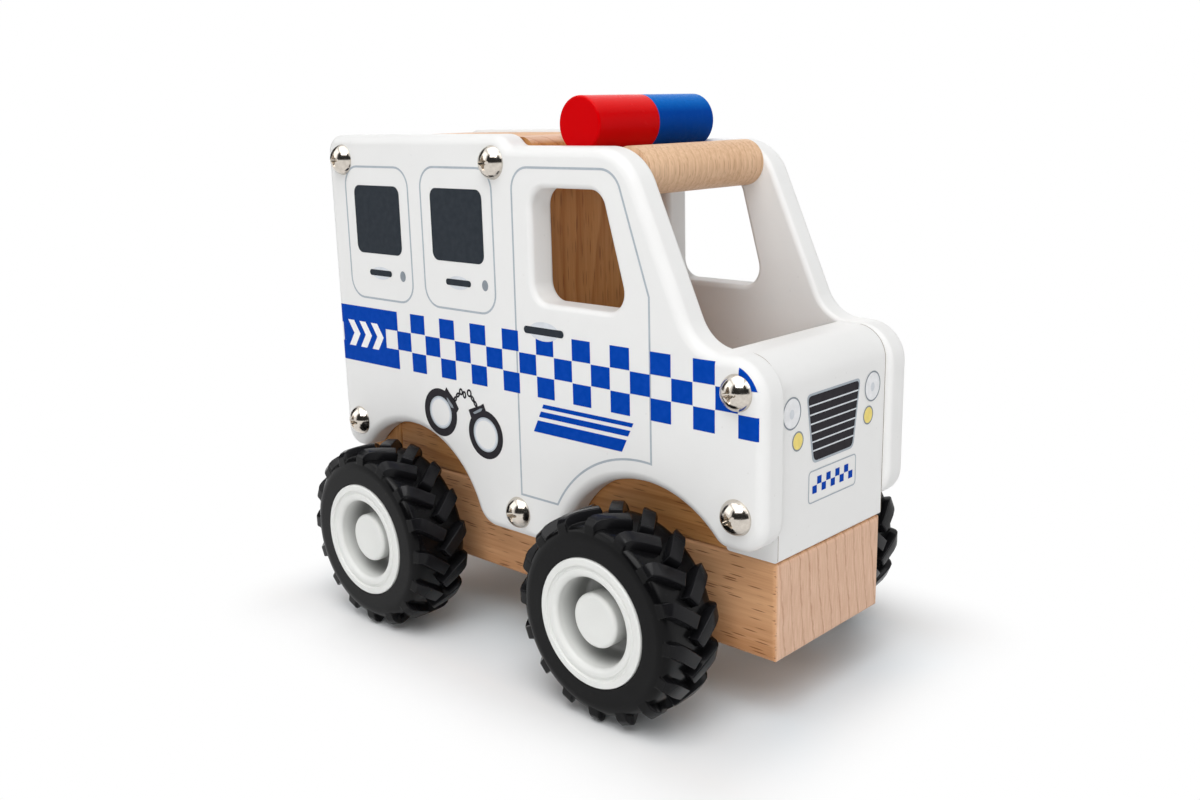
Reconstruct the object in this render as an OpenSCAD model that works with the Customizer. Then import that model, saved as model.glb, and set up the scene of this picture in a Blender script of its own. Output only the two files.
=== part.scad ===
// Wooden toy van: boards between two white side panels, on a beech chassis with two rolling wheel pairs.
// Millimetres. +X is forward, +Y is the van's left, +Z is up, and the wheels stand on Z = 0.

/* [Side panels] */
// Overall length of a side panel
panel_l = 172; // [165:1:190]
// Thickness of a side panel
panel_t = 9; // [7:0.5:12]
// Height of the cargo box's top edge above the ground
cargo_top_z = 151.7; // [151:0.1:158]
// Height of the cab's top edge above the ground
cab_top_z = 148.5; // [147:0.1:149.5]
// Height of the hood's top edge above the ground
hood_z = 99.3; // [95:0.1:103]
// Height of the panel's bottom edge at its front and rear ends
tail_z = 49.6; // [48:0.1:52]
// Height of the panel's bottom edge between the wheels
sill_z = 35.5; // [32:0.1:38]
// Radius of a wheel arch
arch_r = 32.9; // [31:0.1:34]
// Radius that blends an arch into the sill
arch_sill_r = 8; // [5:0.5:10]
// Radius that blends an arch into the front and rear ends
arch_end_r = 5; // [4:0.5:5.5]
// Radius of the rear bottom corner
rear_low_r = 6; // [4:0.5:7]
// Radius of the front bottom corner
nose_low_r = 8; // [5:0.5:9]
// Radius of the hood's front corner
hood_r = 11; // [8:0.5:13]
// Where the windscreen's edge would meet the hood's edge, ahead of the middle of the van
screen_foot_x = 64.5; // [61:0.5:66]
// Lean of the windscreen's edge from upright, in degrees
screen_lean = 24.5; // [20:0.5:26]
// Radius that blends the windscreen's edge into the hood
screen_foot_r = 12; // [8:0.5:13]
// Radius of the cab's front top corner
cab_r = 15; // [13:0.5:16]
// Radius of the step at the front of the cargo box's top
step_out_r = 7; // [5:0.5:8]
// Radius that blends the step into the cab's top edge
step_in_r = 4; // [3:0.5:6]
// Radius of the rear top corner
rear_top_r = 5.5; // [4:0.5:8]
// Rounding of a panel's outer edges
panel_edge_out = 3; // [1:0.25:3.5]
// Rounding of a panel's inner edges
panel_edge_in = 1.5; // [0.5:0.25:2]

/* [Door window] */
// Rear edge of the window, ahead of the middle of the van
window_x = 7.6; // [5:0.1:10]
// Length of the window along its sill, before the corners are rounded
window_l = 35.2; // [30:0.1:37]
// Height of the window's sill above the ground
window_sill_z = 106.2; // [104:0.1:110]
// Height of the window's top edge above the ground
window_top_z = 137.6; // [130:0.1:138]
// Lean of the window's front edge from upright, in degrees
window_lean = 15.9; // [14:0.1:18]
// Radius of the window's corners
window_r = 5.5; // [4:0.25:7]
// Rounding of the window's edges
window_edge = 1.4; // [0.6:0.2:2]

/* [Boards] */
// Width of the boards between the panels
inner_w = 50; // [46:1:60]
// Thickness of the front, rear, partition, floor and cargo roof boards
board_t = 16; // [14:0.5:18]
// How far the front, rear and chassis faces sit inside the panels' ends
board_inset = 2; // [1:0.25:3]
// How far the front board's top sits below the hood's edge
front_board_drop = 0.5; // [0:0.1:1]
// Radius of the front board's top edge
front_board_r = 9; // [6:0.5:11]
// Front face of the partition board, ahead of the middle of the van
partition_x = 1; // [-1:0.5:3]
// Radius of the partition board's front top edge
partition_r = 5; // [3:0.5:7]
// How far the cargo roof and the boards under it sit below the panels' top edge
cargo_roof_drop = 0.9; // [0.3:0.1:1.2]
// Thickness of the cab roof board
cab_roof_t = 7; // [6:0.5:8]
// How far the cab roof sits below the panels' top edge
cab_roof_drop = 1.5; // [1:0.1:2]
// Height of the chassis' underside above the ground
chassis_z = 18; // [15:0.5:20]
// Height of the chassis' top above the ground
chassis_top_z = 45.5; // [45:0.1:47]
// Rounding of the boards' edges
board_edge = 1; // [0.4:0.1:1.5]
// Rounding of the chassis' edges
chassis_edge = 1.6; // [0.5:0.1:2]

/* [Roof bar] */
// Diameter of the bar over the windscreen
bar_d = 13; // [11:0.2:13.4]
// Middle of the bar, ahead of the middle of the van
bar_x = 36.4; // [35.5:0.1:37]
// How far the top of the bar sits below the cab's top edge
bar_drop = 0; // [0:0.1:1]
// Diameter of the tenons at the bar's ends
tenon_d = 7; // [5:0.5:7.5]
// Length of the tenons, which are let into the panels
tenon_l = 5; // [3:0.5:6]

/* [Beacon] */
// Diameter of the beacon
beacon_d = 15.2; // [13:0.2:16]
// Length of the beacon across the van
beacon_l = 49; // [40:1:60]
// Middle of the beacon, ahead of the middle of the van
beacon_x = 18; // [16:0.5:19]
// Depth of the flat that the beacon stands on
beacon_flat = 0.6; // [0.3:0.1:1]
// Rounding of the beacon's ends
beacon_edge = 0.7; // [0.4:0.1:1.2]
// Diameter of a beacon pin
pin_d = 5; // [4:0.5:6]
// How far a beacon pin reaches into the beacon
pin_reach = 8; // [5:0.5:9]

/* [Wheels] */
// Diameter of a tyre over its lugs
tyre_d = 57.4; // [56:0.1:60]
// Width of a tyre
tyre_w = 20; // [17:0.5:22]
// Gap between a tyre and the side panel
tyre_gap = 0.5; // [0.5:0.25:4]
// Height of a lug
lug_h = 3.1; // [2:0.1:3.5]
// Width of a lug at its top
lug_w = 3.4; // [3:0.1:4]
// Width of a lug at its foot on the tread
lug_foot_w = 4.6; // [4.2:0.1:5]
// Length of a lug's straight end at the shoulder, before it turns to its slant
lug_knee = 2; // [1:0.25:4]
// Number of lugs in each of the two rows
lug_n = 16; // [12:2:18]
// Slant of the lugs, in degrees from straight across
lug_slant = 38; // [25:1:42]
// Outer diameter of the wheel's rim
rim_d = 35.2; // [34:0.2:38]
// Diameter of the barrel that the tyre sits on
barrel_d = 31; // [30:0.2:32]
// Diameter of the wheel's bowl at its floor
bowl_d = 23.6; // [21:0.2:25]
// Depth of the wheel's bowl
bowl_depth = 12; // [10:0.5:13]
// Diameter of the wheel's inner boss
boss_d = 14; // [11:0.5:16]
// Diameter of an axle cap
cap_d = 15; // [13:0.5:17]
// How far an axle cap's face sits behind the rim's face
cap_recess = 2; // [1:0.25:3]
// Rounding of an axle cap's edge
cap_edge = 1.2; // [0.6:0.1:1.6]
// How far the rim's face stands out of the tyre
rim_lip = 0.5; // [0.3:0.1:0.8]
// Width of the flat ring at the rim's face
rim_ring = 2; // [1.4:0.1:2.4]
// Rounding of the bead round the bowl's mouth
bead_edge = 1.4; // [0.8:0.1:1.8]
// Diameter of an axle
axle_d = 5; // [4:0.5:6]
// Distance of the front axle from the panels' front ends
front_overhang = 39.7; // [39.5:0.1:41]
// Distance of the rear axle from the panels' rear ends
rear_overhang = 34.8; // [34.2:0.1:36]
// Radial clearance of an axle in its chassis bore
axle_clear = 0.05; // [0.03:0.01:0.08]
// Gap between a wheel's boss and the chassis
axle_play = 0.5; // [0.3:0.1:0.8]

/* [Screws] */
// Diameter of a screw's domed head
head_d = 9.5; // [8:0.1:10]
// Height of a screw's domed head
head_h = 3.5; // [2.5:0.1:4]
// Diameter of a screw's shank
shank_d = 3; // [2.5:0.1:3.5]
// Length of a screw under its head
screw_l = 22; // [18:1:24]
// Distance of the end screws from the panel's front and rear edges
screw_end = 8.4; // [7:0.1:9.5]
// Distance of the top screws from the cargo box's top edge
screw_top = 7.6; // [7:0.1:9]
// Distance of the nose screw from the hood's edge
screw_hood = 8.7; // [8:0.1:12]
// Height of the low end screws above the panel's end edge
screw_tail = 9.3; // [8:0.1:11]
// Height of the sill screw above the sill
screw_sill = 7.5; // [7:0.1:7.8]
// Place of the sill screw, ahead of the middle of the van
sill_screw_x = -1.5; // [-4:0.5:2]
// Width of a screw's cross recess
cross_w = 1.1; // [0.8:0.1:1.4]
// Length of a screw's cross recess
cross_l = 4.2; // [3:0.1:5]
// Depth of a screw's cross recess
cross_depth = 1.6; // [1:0.1:2]

/* [Fits and facets] */
// Gap round a glued or pressed pin, bar, shank or axle end
seat_clear = 0.03; // [0.02:0.01:0.06]
// Largest turn between two points of an outline's corner, in degrees
corner_step = 13; // [6:1:20]
// Largest turn between two points of a wheel arch, in degrees
arch_step = 6; // [4:1:10]

/* [Hidden] */
$fn = 96;

// A side is 1 on the van's right, where outward is -Y, and -1 on its left
right = 1;
left = -1;
beech = "burlywood";
white = "whitesmoke";
slack = 1;
tiny = 0.001;

panel_x = panel_l / 2;
inner_y = inner_w / 2;
outer_y = inner_y + panel_t;
board_x = panel_x - board_inset;
floor_top_z = chassis_top_z + board_t;
box_top_z = cargo_top_z - cargo_roof_drop;
cab_roof_z = cab_top_z - cab_roof_drop;
bar_z = cab_top_z - bar_drop - bar_d / 2;
beacon_z = cab_roof_z + beacon_d / 2 - beacon_flat;
axle_z = tyre_d / 2;
front_axle_x = panel_x - front_overhang;
rear_axle_x = -panel_x + rear_overhang;

// Distances of the wheel's faces from the middle of the van
tyre_in = outer_y + tyre_gap;
tyre_out = tyre_in + tyre_w;
tyre_mid = (tyre_in + tyre_out) / 2;
rim_face = tyre_out + rim_lip;
bowl_floor = rim_face - bowl_depth;
cap_face = rim_face - cap_recess;
boss_face = inner_y + axle_play;
cap_wall = 2;
axle_end = cap_face - cap_wall;
cap_boss = 3;
cap_skirt = 1.3;
cap_boss_r = cap_d / 2 - cap_skirt;
cap_lift = 1;

// The rim's two flanges, with slopes down to the barrel, and the tyre's axial play between them
rim_r = rim_d / 2;
barrel_r = barrel_d / 2;
barrel_wall = 2.5;
flange_slope = 0.9;
outer_flange = 2.4;
inner_flange = 1.6;
inner_flange_in = 0.7;
inner_flange_r = rim_r - 0.9;
flange_play = 0.1;
web = 3;

// The groove between the rim's ring and the bead, whose top sits a little lower than the ring
ring_edge = 0.4;
groove_w = 1;
groove_depth = 0.6;
groove_slope = 0.2;
bead_drop = 0.2;
bead_flat = 0.9;

// Shoulders, as [depth under the tread, distance in from the sidewall]
carcass_shoulder = [[2.6, 0], [1, 0.8], [0.2, 2.4]];
lug_root = 3;
lug_shoulder = [[lug_h + lug_root + 1, 0.3], [1.9, 0.5], [0.6, 1.5], [0, 3.6]];

// Screws on a panel, as [x, z]
partition_mid_x = partition_x - board_t / 2;
screw_places = [
    [-panel_x + screw_end, cargo_top_z - screw_top],
    [partition_mid_x, cargo_top_z - screw_top],
    [-panel_x + screw_end, tail_z + screw_tail],
    [sill_screw_x, sill_z + screw_sill],
    [panel_x - screw_end, hood_z - screw_hood],
    [panel_x - screw_end, tail_z + screw_tail]
];

// Outlines
// A corner is [x, z, radius] of the circle that the outline bends round, with a positive radius
// where the outline turns left round it and a negative one where it turns right.
// Straight stretches join one corner to the next, and two corners may also touch.
function heading(a, b) =
    let (d = [b.x - a.x, b.y - a.y], s = (a.z - b.z) / norm(d))
    atan2(d.y, d.x) + asin(min(1, max(-1, s)));
function turn(a, b, c) =
    let (t = heading(b, c) - heading(a, b), m = (t % 360 + 360) % 360)
    b.z > 0 ? m : m - 360;
function touching(a, b) = abs(abs(a.z - b.z) - norm([b.x - a.x, b.y - a.y])) < tiny;
function steps(c, t) = ceil(abs(t) / (abs(c.z) < arch_r / 2 ? corner_step : arch_step));
function outline(corners, inset = 0) =
    let (n = len(corners))
    [for (k = [0 : n - 1])
        let (a = corners[(k + n - 1) % n], b = corners[k], c = corners[(k + 1) % n])
        let (h = heading(a, b), t = turn(a, b, c), m = steps(b, t))
        for (j = [0 : touching(b, c) ? m - 1 : m])
            let (g = h + t * j / m)
            [b.x + (b.z - inset) * sin(g), b.y - (b.z - inset) * cos(g)]];
function rounded_rect(x0, y0, x1, y1, r) =
    [[x0 + r, y0 + r, r], [x1 - r, y0 + r, r], [x1 - r, y1 - r, r], [x0 + r, y1 - r, r]];

// A blend of radius r between an edge at height z and an arch, ahead of the arch or behind it
function arch_blend(axle_x, z, r, ahead) =
    [axle_x + ahead * sqrt((arch_r + r) ^ 2 - (z + r - axle_z) ^ 2), z + r, r];

// A corner between a level edge at height z and an edge that leans back from upright,
// where foot is the point in which the two edges would meet
function lean_corner(foot_x, z, lean, r, above) =
    let (half = (90 - lean) / 2)
    [foot_x + (above ? r : -r) * tan(half), z + (above ? r : -r), above ? -r : r];

cab_corner_x = screen_foot_x - (cab_top_z - hood_z) * tan(screen_lean);
step_rise = (cab_top_z + step_in_r) - (cargo_top_z - step_out_r);
step_run = sqrt((step_in_r + step_out_r) ^ 2 - step_rise ^ 2);

panel_corners = [
    [-panel_x + rear_low_r, tail_z + rear_low_r, rear_low_r],
    arch_blend(rear_axle_x, tail_z, arch_end_r, -1),
    [rear_axle_x, axle_z, -arch_r],
    arch_blend(rear_axle_x, sill_z, arch_sill_r, 1),
    arch_blend(front_axle_x, sill_z, arch_sill_r, -1),
    [front_axle_x, axle_z, -arch_r],
    arch_blend(front_axle_x, tail_z, arch_end_r, 1),
    [panel_x - nose_low_r, tail_z + nose_low_r, nose_low_r],
    [panel_x - hood_r, hood_z - hood_r, hood_r],
    lean_corner(screen_foot_x, hood_z, screen_lean, screen_foot_r, true),
    lean_corner(cab_corner_x, cab_top_z, screen_lean, cab_r, false),
    [partition_mid_x + step_run, cab_top_z + step_in_r, -step_in_r],
    [partition_mid_x, cargo_top_z - step_out_r, step_out_r],
    [-panel_x + rear_top_r, cargo_top_z - rear_top_r, rear_top_r]
];

// The window's sill corner opens wider than a right angle less the lean, its top corner narrower
window_front_x = window_x + window_l;
window_head_x = window_front_x - (window_top_z - window_sill_z) * tan(window_lean);
window_corners = [
    [window_x + window_r, window_sill_z + window_r, window_r],
    [window_front_x - window_r * tan(45 + window_lean / 2), window_sill_z + window_r, window_r],
    lean_corner(window_head_x, window_top_z, window_lean, window_r, false),
    [window_x + window_r, window_top_z - window_r, window_r]
];

// A solid skinned over level rings of points, from the lowest ring up
module skin(rings) {
    n = len(rings[0]);
    top = len(rings) - 1;
    sides = [for (k = [0 : top - 1]) for (i = [0 : n - 1])
        let (i1 = (i + 1) % n)
        [k * n + i, (k + 1) * n + i, (k + 1) * n + i1, k * n + i1]];
    base_face = [for (i = [0 : n - 1]) i];
    top_face = [for (i = [n - 1 : -1 : 0]) top * n + i];
    polyhedron([for (r = rings) each r], concat([base_face], sides, [top_face]));
}

// A solid over one outline, with a section [inset, height] for each level
module loft(corners, sections) {
    skin([for (s = sections) [for (p = outline(corners, s[0])) [p.x, p.y, s[1]]]]);
}

// Stands a solid drawn in x and z, with its height outward, against one side of the van
module on_side(side) {
    if (side == right) rotate([90, 0, 0]) children();
    else mirror([0, 1, 0]) rotate([90, 0, 0]) children();
}

// A block between two corners, with every edge rounded
module rounded_block(x0, x1, half_w, z0, z1, r) {
    intersection() {
        translate([0, 0, z0])
            linear_extrude(z1 - z0) polygon(outline(rounded_rect(x0, -half_w, x1, half_w, r)));
        translate([0, half_w, 0]) rotate([90, 0, 0])
            linear_extrude(2 * half_w) polygon(outline(rounded_rect(x0, z0, x1, z1, r)));
        translate([x0, 0, 0]) rotate([90, 0, 90])
            linear_extrude(x1 - x0) polygon(outline(rounded_rect(-half_w, z0, half_w, z1, r)));
    }
}

// Pilot holes for screws from both sides, at the listed places
module pilot_holes(places) {
    depth = screw_l - panel_t + seat_clear;
    for (side = [right, left]) on_side(side)
        for (p = places) translate([p.x, p.y, inner_y - depth])
            cylinder(d = shank_d + 2 * seat_clear, h = depth + slack);
}

// Body
module chassis() {
    color(beech) difference() {
        rounded_block(-board_x, board_x, inner_y, chassis_z, chassis_top_z, chassis_edge);
        for (x = [front_axle_x, rear_axle_x]) translate([x, inner_y + slack, axle_z]) rotate([90, 0, 0])
            cylinder(d = axle_d + 2 * axle_clear, h = inner_w + 2 * slack);
        pilot_holes([screw_places[3]]);
    }
}

module floor_board() {
    color(beech)
        rounded_block(-board_x + board_t, board_x - board_t, inner_y, chassis_top_z, floor_top_z, board_edge);
}

module side_panel(side) {
    // Sections of the rounded edges, each carried on past the panel's face, where the slab cuts it off
    soft = [for (a = [0, 45, 90]) [panel_edge_in * (1 - sin(a)), inner_y + panel_edge_in * (1 - cos(a))]];
    bend = [for (a = [0 : 18 : 90]) [panel_edge_out * (1 - cos(a)), outer_y - panel_edge_out * (1 - sin(a))]];
    panel_sections = concat(
        [2 * soft[0] - soft[1], soft[1], soft[2]],
        [for (i = [0 : 4]) bend[i]], [2 * bend[5] - bend[4]]);
    // The window's edges flare to both faces and carry on past them
    flare = [0, 30, 60];
    past = window_edge;
    wide = window_edge * (1 - cos(flare[2])) + (past + window_edge * (1 - sin(flare[2]))) * tan(flare[2]);
    window_sections = concat(
        [[-wide, inner_y - past]],
        [for (i = [2 : -1 : 0])
            let (a = flare[i]) [-window_edge * (1 - cos(a)), inner_y + window_edge * (1 - sin(a))]],
        [for (a = flare) [-window_edge * (1 - cos(a)), outer_y - window_edge * (1 - sin(a))]],
        [[-wide, outer_y + past]]);
    color(white) on_side(side) difference() {
        intersection() {
            loft(panel_corners, panel_sections);
            translate([-panel_l, 0, inner_y]) cube([2 * panel_l, 2 * cargo_top_z, panel_t]);
        }
        loft(window_corners, window_sections);
        for (p = screw_places) translate([p.x, p.y, inner_y - slack])
            cylinder(d = shank_d + 2 * seat_clear, h = panel_t + 2 * slack);
        translate([bar_x, bar_z, inner_y - slack])
            cylinder(d = tenon_d + 2 * seat_clear, h = tenon_l + seat_clear + slack);
    }
}

// An upright board with its front face at x, whose front top edge has a radius of its own
module nosed_board(x, z0, z1, nose_r) {
    x0 = x - board_t;
    profile = [
        [x0 + board_edge, z0 + board_edge, board_edge],
        [x - board_edge, z0 + board_edge, board_edge],
        [x - nose_r, z1 - nose_r, nose_r],
        [x0 + board_edge, z1 - board_edge, board_edge]
    ];
    translate([0, inner_y, 0]) rotate([90, 0, 0]) linear_extrude(inner_w) polygon(outline(profile));
}

module front_board() {
    color(white) difference() {
        nosed_board(board_x, chassis_top_z, hood_z - front_board_drop, front_board_r);
        pilot_holes([screw_places[4], screw_places[5]]);
    }
}

module partition_board() {
    color(beech) difference() {
        nosed_board(partition_x, floor_top_z, box_top_z, partition_r);
        pilot_holes([screw_places[1]]);
    }
}

module rear_board() {
    color(beech) difference() {
        rounded_block(-board_x, -board_x + board_t, inner_y, chassis_top_z, box_top_z, board_edge);
        pilot_holes([screw_places[0], screw_places[2]]);
    }
}

module cargo_roof() {
    x0 = -board_x + board_t;
    x1 = partition_x - board_t;
    color(beech) rounded_block(x0, x1, inner_y, box_top_z - board_t, box_top_z, board_edge);
}

// The cab roof's front edge is coved to the bar
module cab_roof() {
    x1 = bar_x - bar_d / 4;
    z0 = cab_roof_z - cab_roof_t;
    color(beech) difference() {
        rounded_block(partition_x, x1, inner_y, z0, cab_roof_z, board_edge);
        translate([bar_x, inner_y + slack, bar_z]) rotate([90, 0, 0])
            cylinder(d = bar_d + 2 * seat_clear, h = inner_w + 2 * slack);
        for (y = pin_y) translate([beacon_x, y, cab_roof_z - cab_roof_t - slack])
            cylinder(d = pin_d + 2 * seat_clear, h = cab_roof_t + 2 * slack);
    }
}

module roof_bar() {
    color(beech) translate([bar_x, 0, bar_z]) rotate([90, 0, 0]) {
        cylinder(d = bar_d, h = inner_w, center = true);
        cylinder(d = tenon_d, h = inner_w + 2 * tenon_l, center = true);
    }
}

// Beacon
pin_y = [-beacon_l / 4, beacon_l / 4];
module beacon_half(side) {
    r = beacon_d / 2;
    e = beacon_edge;
    length = beacon_l / 2;
    profile = concat([[0, 0], [r, 0]],
        [for (a = [0 : 30 : 90]) [r - e + e * cos(a), length - e + e * sin(a)]], [[0, length]]);
    difference() {
        translate([beacon_x, 0, beacon_z]) on_side(side) rotate_extrude() polygon(profile);
        translate([beacon_x - r, -beacon_l, cab_roof_z - r]) cube([2 * r, 2 * beacon_l, r]);
        for (y = pin_y) translate([beacon_x, y, cab_roof_z - slack])
            cylinder(d = pin_d + 2 * seat_clear, h = pin_reach + seat_clear + slack);
    }
}

module beacon_pins() {
    color(beech) for (y = pin_y) translate([beacon_x, y, cab_roof_z - cab_roof_t])
        cylinder(d = pin_d, h = cab_roof_t + pin_reach);
}

// Screws
module screw() {
    r = head_d / 2;
    ball = (r ^ 2 + head_h ^ 2) / (2 * head_h);
    difference() {
        union() {
            intersection() {
                translate([0, 0, head_h - ball]) sphere(r = ball);
                cylinder(r = 2 * r, h = head_h + slack);
            }
            translate([0, 0, -screw_l]) cylinder(d = shank_d, h = screw_l + head_h / 4);
        }
        for (a = [0, 90]) rotate([0, 0, a]) translate([-cross_l / 2, -cross_w / 2, head_h - cross_depth])
            cube([cross_l, cross_w, cross_depth + slack]);
    }
}

module screws(side) {
    color("silver") on_side(side) for (p = screw_places) translate([p.x, p.y, outer_y]) screw();
}

// Wheels
// A wheel piece is drawn with its axis along z, as [radius, distance from the middle of the van]
module wheel_at(x, side) {
    translate([x, 0, axle_z]) on_side(side) children();
}

module axle(x) {
    color("gray") translate([x, axle_end, axle_z]) rotate([90, 0, 0]) cylinder(d = axle_d, h = 2 * axle_end);
}

module hub(x, side) {
    hole_r = axle_d / 2 + seat_clear;
    bowl_r = bowl_d / 2;
    well_r = barrel_r - barrel_wall;
    inner_z = tyre_in + inner_flange_in;
    groove_r = rim_r - rim_ring;
    bead_r = groove_r - groove_w - bead_flat;
    bead_z = rim_face - bead_drop;
    profile = concat(
        [[hole_r, boss_face], [boss_d / 2, boss_face], [boss_d / 2, bowl_floor - web],
         [well_r, bowl_floor - web], [well_r, inner_z],
         [inner_flange_r, inner_z], [inner_flange_r, inner_z + inner_flange],
         [barrel_r, inner_z + inner_flange + flange_slope],
         [barrel_r, rim_face - outer_flange - flange_slope], [rim_r, rim_face - outer_flange],
         [rim_r, rim_face - ring_edge], [rim_r - ring_edge, rim_face],
         [groove_r, rim_face], [groove_r - groove_slope, rim_face - groove_depth],
         [groove_r - groove_w + groove_slope, rim_face - groove_depth], [groove_r - groove_w, bead_z]],
        [for (a = [90 : 22.5 : 180]) [bead_r + bead_edge * cos(a), bead_z - bead_edge + bead_edge * sin(a)]],
        [for (a = [0 : -30 : -90]) [bowl_r - bead_edge + bead_edge * cos(a),
                                    bowl_floor + bead_edge + bead_edge * sin(a)]],
        [[cap_boss_r, bowl_floor], [cap_boss_r, bowl_floor + cap_boss], [hole_r, bowl_floor + cap_boss]]);
    color("ivory") wheel_at(x, side) rotate_extrude() polygon(profile);
}

module cap(x, side) {
    r = cap_d / 2;
    hole_r = axle_d / 2 + seat_clear;
    skirt_r = cap_boss_r + seat_clear;
    seat = bowl_floor + cap_boss + seat_clear;
    profile = concat(
        [[skirt_r, bowl_floor + cap_lift], [r, bowl_floor + cap_lift]],
        [for (a = [0 : 22.5 : 90])
            [r - cap_edge * (1 - cos(a)), cap_face - cap_edge * (1 - sin(a))]],
        [[0, cap_face], [0, axle_end + seat_clear], [hole_r, axle_end + seat_clear], [hole_r, seat],
         [skirt_r, seat]]);
    color("ivory") wheel_at(x, side) rotate_extrude() polygon(profile);
}

// A tyre's section from its inner shoulder over the tread to its outer shoulder
function over_tread(r, shoulder) =
    let (last = len(shoulder) - 1)
    concat([for (s = shoulder) [r - s.x, tyre_in + s.y]],
           [for (i = [last : -1 : 0]) [r - shoulder[i].x, tyre_out - shoulder[i].y]]);

// A tyre's carcass, which grips the rim's barrel between its flanges
module tyre_carcass() {
    inner_z = tyre_in + inner_flange_in;
    profile = concat(
        [[barrel_r + seat_clear, inner_z + inner_flange + flange_slope + flange_play],
         [inner_flange_r + seat_clear, inner_z + inner_flange + flange_play],
         [inner_flange_r + seat_clear, tyre_in + 2 * ring_edge], [rim_r + seat_clear, tyre_in]],
        over_tread(tyre_d / 2 - lug_h, carcass_shoulder),
        [[rim_r + seat_clear + 2 * ring_edge, tyre_out], [rim_r + seat_clear, tyre_out - ring_edge],
         [rim_r + seat_clear, rim_face - outer_flange - flange_play],
         [barrel_r + seat_clear, rim_face - outer_flange - flange_slope - flange_play]]);
    rotate_extrude() polygon(profile);
}

// The space that the lugs fill, rounded off at the shoulders
module lug_envelope() {
    rotate_extrude() polygon(over_tread(tyre_d / 2, lug_shoulder));
}

// One row of drafted bars that leave a shoulder straight, then slant forward to the middle of the tread
module lug_row(shoulder, phase) {
    top_r = tyre_d / 2 + slack;
    root_r = tyre_d / 2 - lug_h - lug_root;
    draft = (lug_foot_w - lug_w) / (2 * lug_h);
    inward = sign(tyre_mid - shoulder);
    inner = tyre_mid + inward * lug_w / 8;
    knee = shoulder + inward * lug_knee;
    line = [[0, shoulder], [0, knee], [abs(inner - knee) * tan(lug_slant), inner]];
    path = inward > 0 ? line : [line[2], line[1], line[0]];
    bar = [for (r = [top_r, root_r])
        let (half = lug_w / 2 + (tyre_d / 2 - r) * draft)
        concat([for (i = [0 : 2]) [path[i].x + half, path[i].y, top_r - r]],
               [for (i = [2 : -1 : 0]) [path[i].x - half, path[i].y, top_r - r]])];
    for (i = [0 : lug_n - 1]) rotate([0, 0, -(i + phase) * 360 / lug_n])
        translate([0, top_r, 0]) rotate([90, 0, 0]) skin(bar);
}

module tyre(x, side) {
    color("dimgray") wheel_at(x, side) union() {
        tyre_carcass();
        intersection() {
            lug_envelope();
            union() {
                lug_row(tyre_out, 0);
                lug_row(tyre_in, 0.5);
            }
        }
    }
}

chassis();
floor_board();
side_panel(right);  // side_panel_right
side_panel(left);  // side_panel_left
front_board();
partition_board();
rear_board();
cargo_roof();
cab_roof();
roof_bar();
color("crimson") beacon_half(right);  // beacon_red
color("royalblue") beacon_half(left);  // beacon_blue
beacon_pins();
screws(right);  // screws_right
screws(left);  // screws_left
axle(front_axle_x);  // front_axle
axle(rear_axle_x);  // rear_axle
hub(front_axle_x, right);  // hub_front_right
hub(front_axle_x, left);  // hub_front_left
hub(rear_axle_x, right);  // hub_rear_right
hub(rear_axle_x, left);  // hub_rear_left
tyre(front_axle_x, right);  // tyre_front_right
tyre(front_axle_x, left);  // tyre_front_left
tyre(rear_axle_x, right);  // tyre_rear_right
tyre(rear_axle_x, left);  // tyre_rear_left
cap(front_axle_x, right);  // cap_front_right
cap(front_axle_x, left);  // cap_front_left
cap(rear_axle_x, right);  // cap_rear_right
cap(rear_axle_x, left);  // cap_rear_left
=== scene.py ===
from math import asin, atan2, ceil, cos, degrees, exp, hypot, log1p, pi, radians, sin, sqrt, tan

import bpy
import numpy as np
from mathutils import Matrix, Vector
from mathutils.geometry import tessellate_polygon


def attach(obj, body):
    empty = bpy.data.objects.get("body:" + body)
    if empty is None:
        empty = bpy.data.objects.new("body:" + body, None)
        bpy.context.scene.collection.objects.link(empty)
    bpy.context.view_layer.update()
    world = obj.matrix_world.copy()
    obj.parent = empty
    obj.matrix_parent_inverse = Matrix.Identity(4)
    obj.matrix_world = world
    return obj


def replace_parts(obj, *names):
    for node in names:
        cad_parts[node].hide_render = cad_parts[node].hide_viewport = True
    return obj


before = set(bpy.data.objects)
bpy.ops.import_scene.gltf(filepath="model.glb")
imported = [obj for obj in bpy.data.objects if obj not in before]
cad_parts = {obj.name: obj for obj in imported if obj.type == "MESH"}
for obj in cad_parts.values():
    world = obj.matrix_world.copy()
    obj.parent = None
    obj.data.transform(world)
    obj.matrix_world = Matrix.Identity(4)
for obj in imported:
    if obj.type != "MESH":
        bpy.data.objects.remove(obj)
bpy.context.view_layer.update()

MM = 0.001

# Sizes that the source gives, in millimetres
PANEL_X = 86.0
INNER_Y = 25.0
OUTER_Y = 34.0
EDGE_OUT = 3.0
EDGE_IN = 1.5
AXLE_Z = 28.7
FRONT_AXLE_X = 46.3
REAR_AXLE_X = -51.2
ARCH_R = 32.9
SILL_Z = 35.5
TAIL_Z = 49.6
HOOD_Z = 99.3
CAB_TOP_Z = 148.5
CARGO_TOP_Z = 151.7
SCREEN_LEAN = radians(24.5)
SCREEN_FOOT_X = 64.5
FRONT_X = 84.0
BOARD_T = 16.0
BOARD_TOP_Z = 98.8
CHASSIS_TOP_Z = 45.5
FLOOR_TOP_Z = 61.5
BOX_TOP_Z = 150.8
PARTITION_X = 1.0
PARTITION_MID_X = -7.0
PARTITION_R = 5.0
FRONT_BOARD_R = 9.0
BOARD_EDGE = 1.0
WINDOW_EDGE = 1.6
BAR_X = 36.4
BAR_Z = 142.0
BAR_R = 6.5
BEACON_X = 18.0
BEACON_Z = 154.0
BEACON_R = 7.6
BEACON_HALF = 24.5
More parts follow.
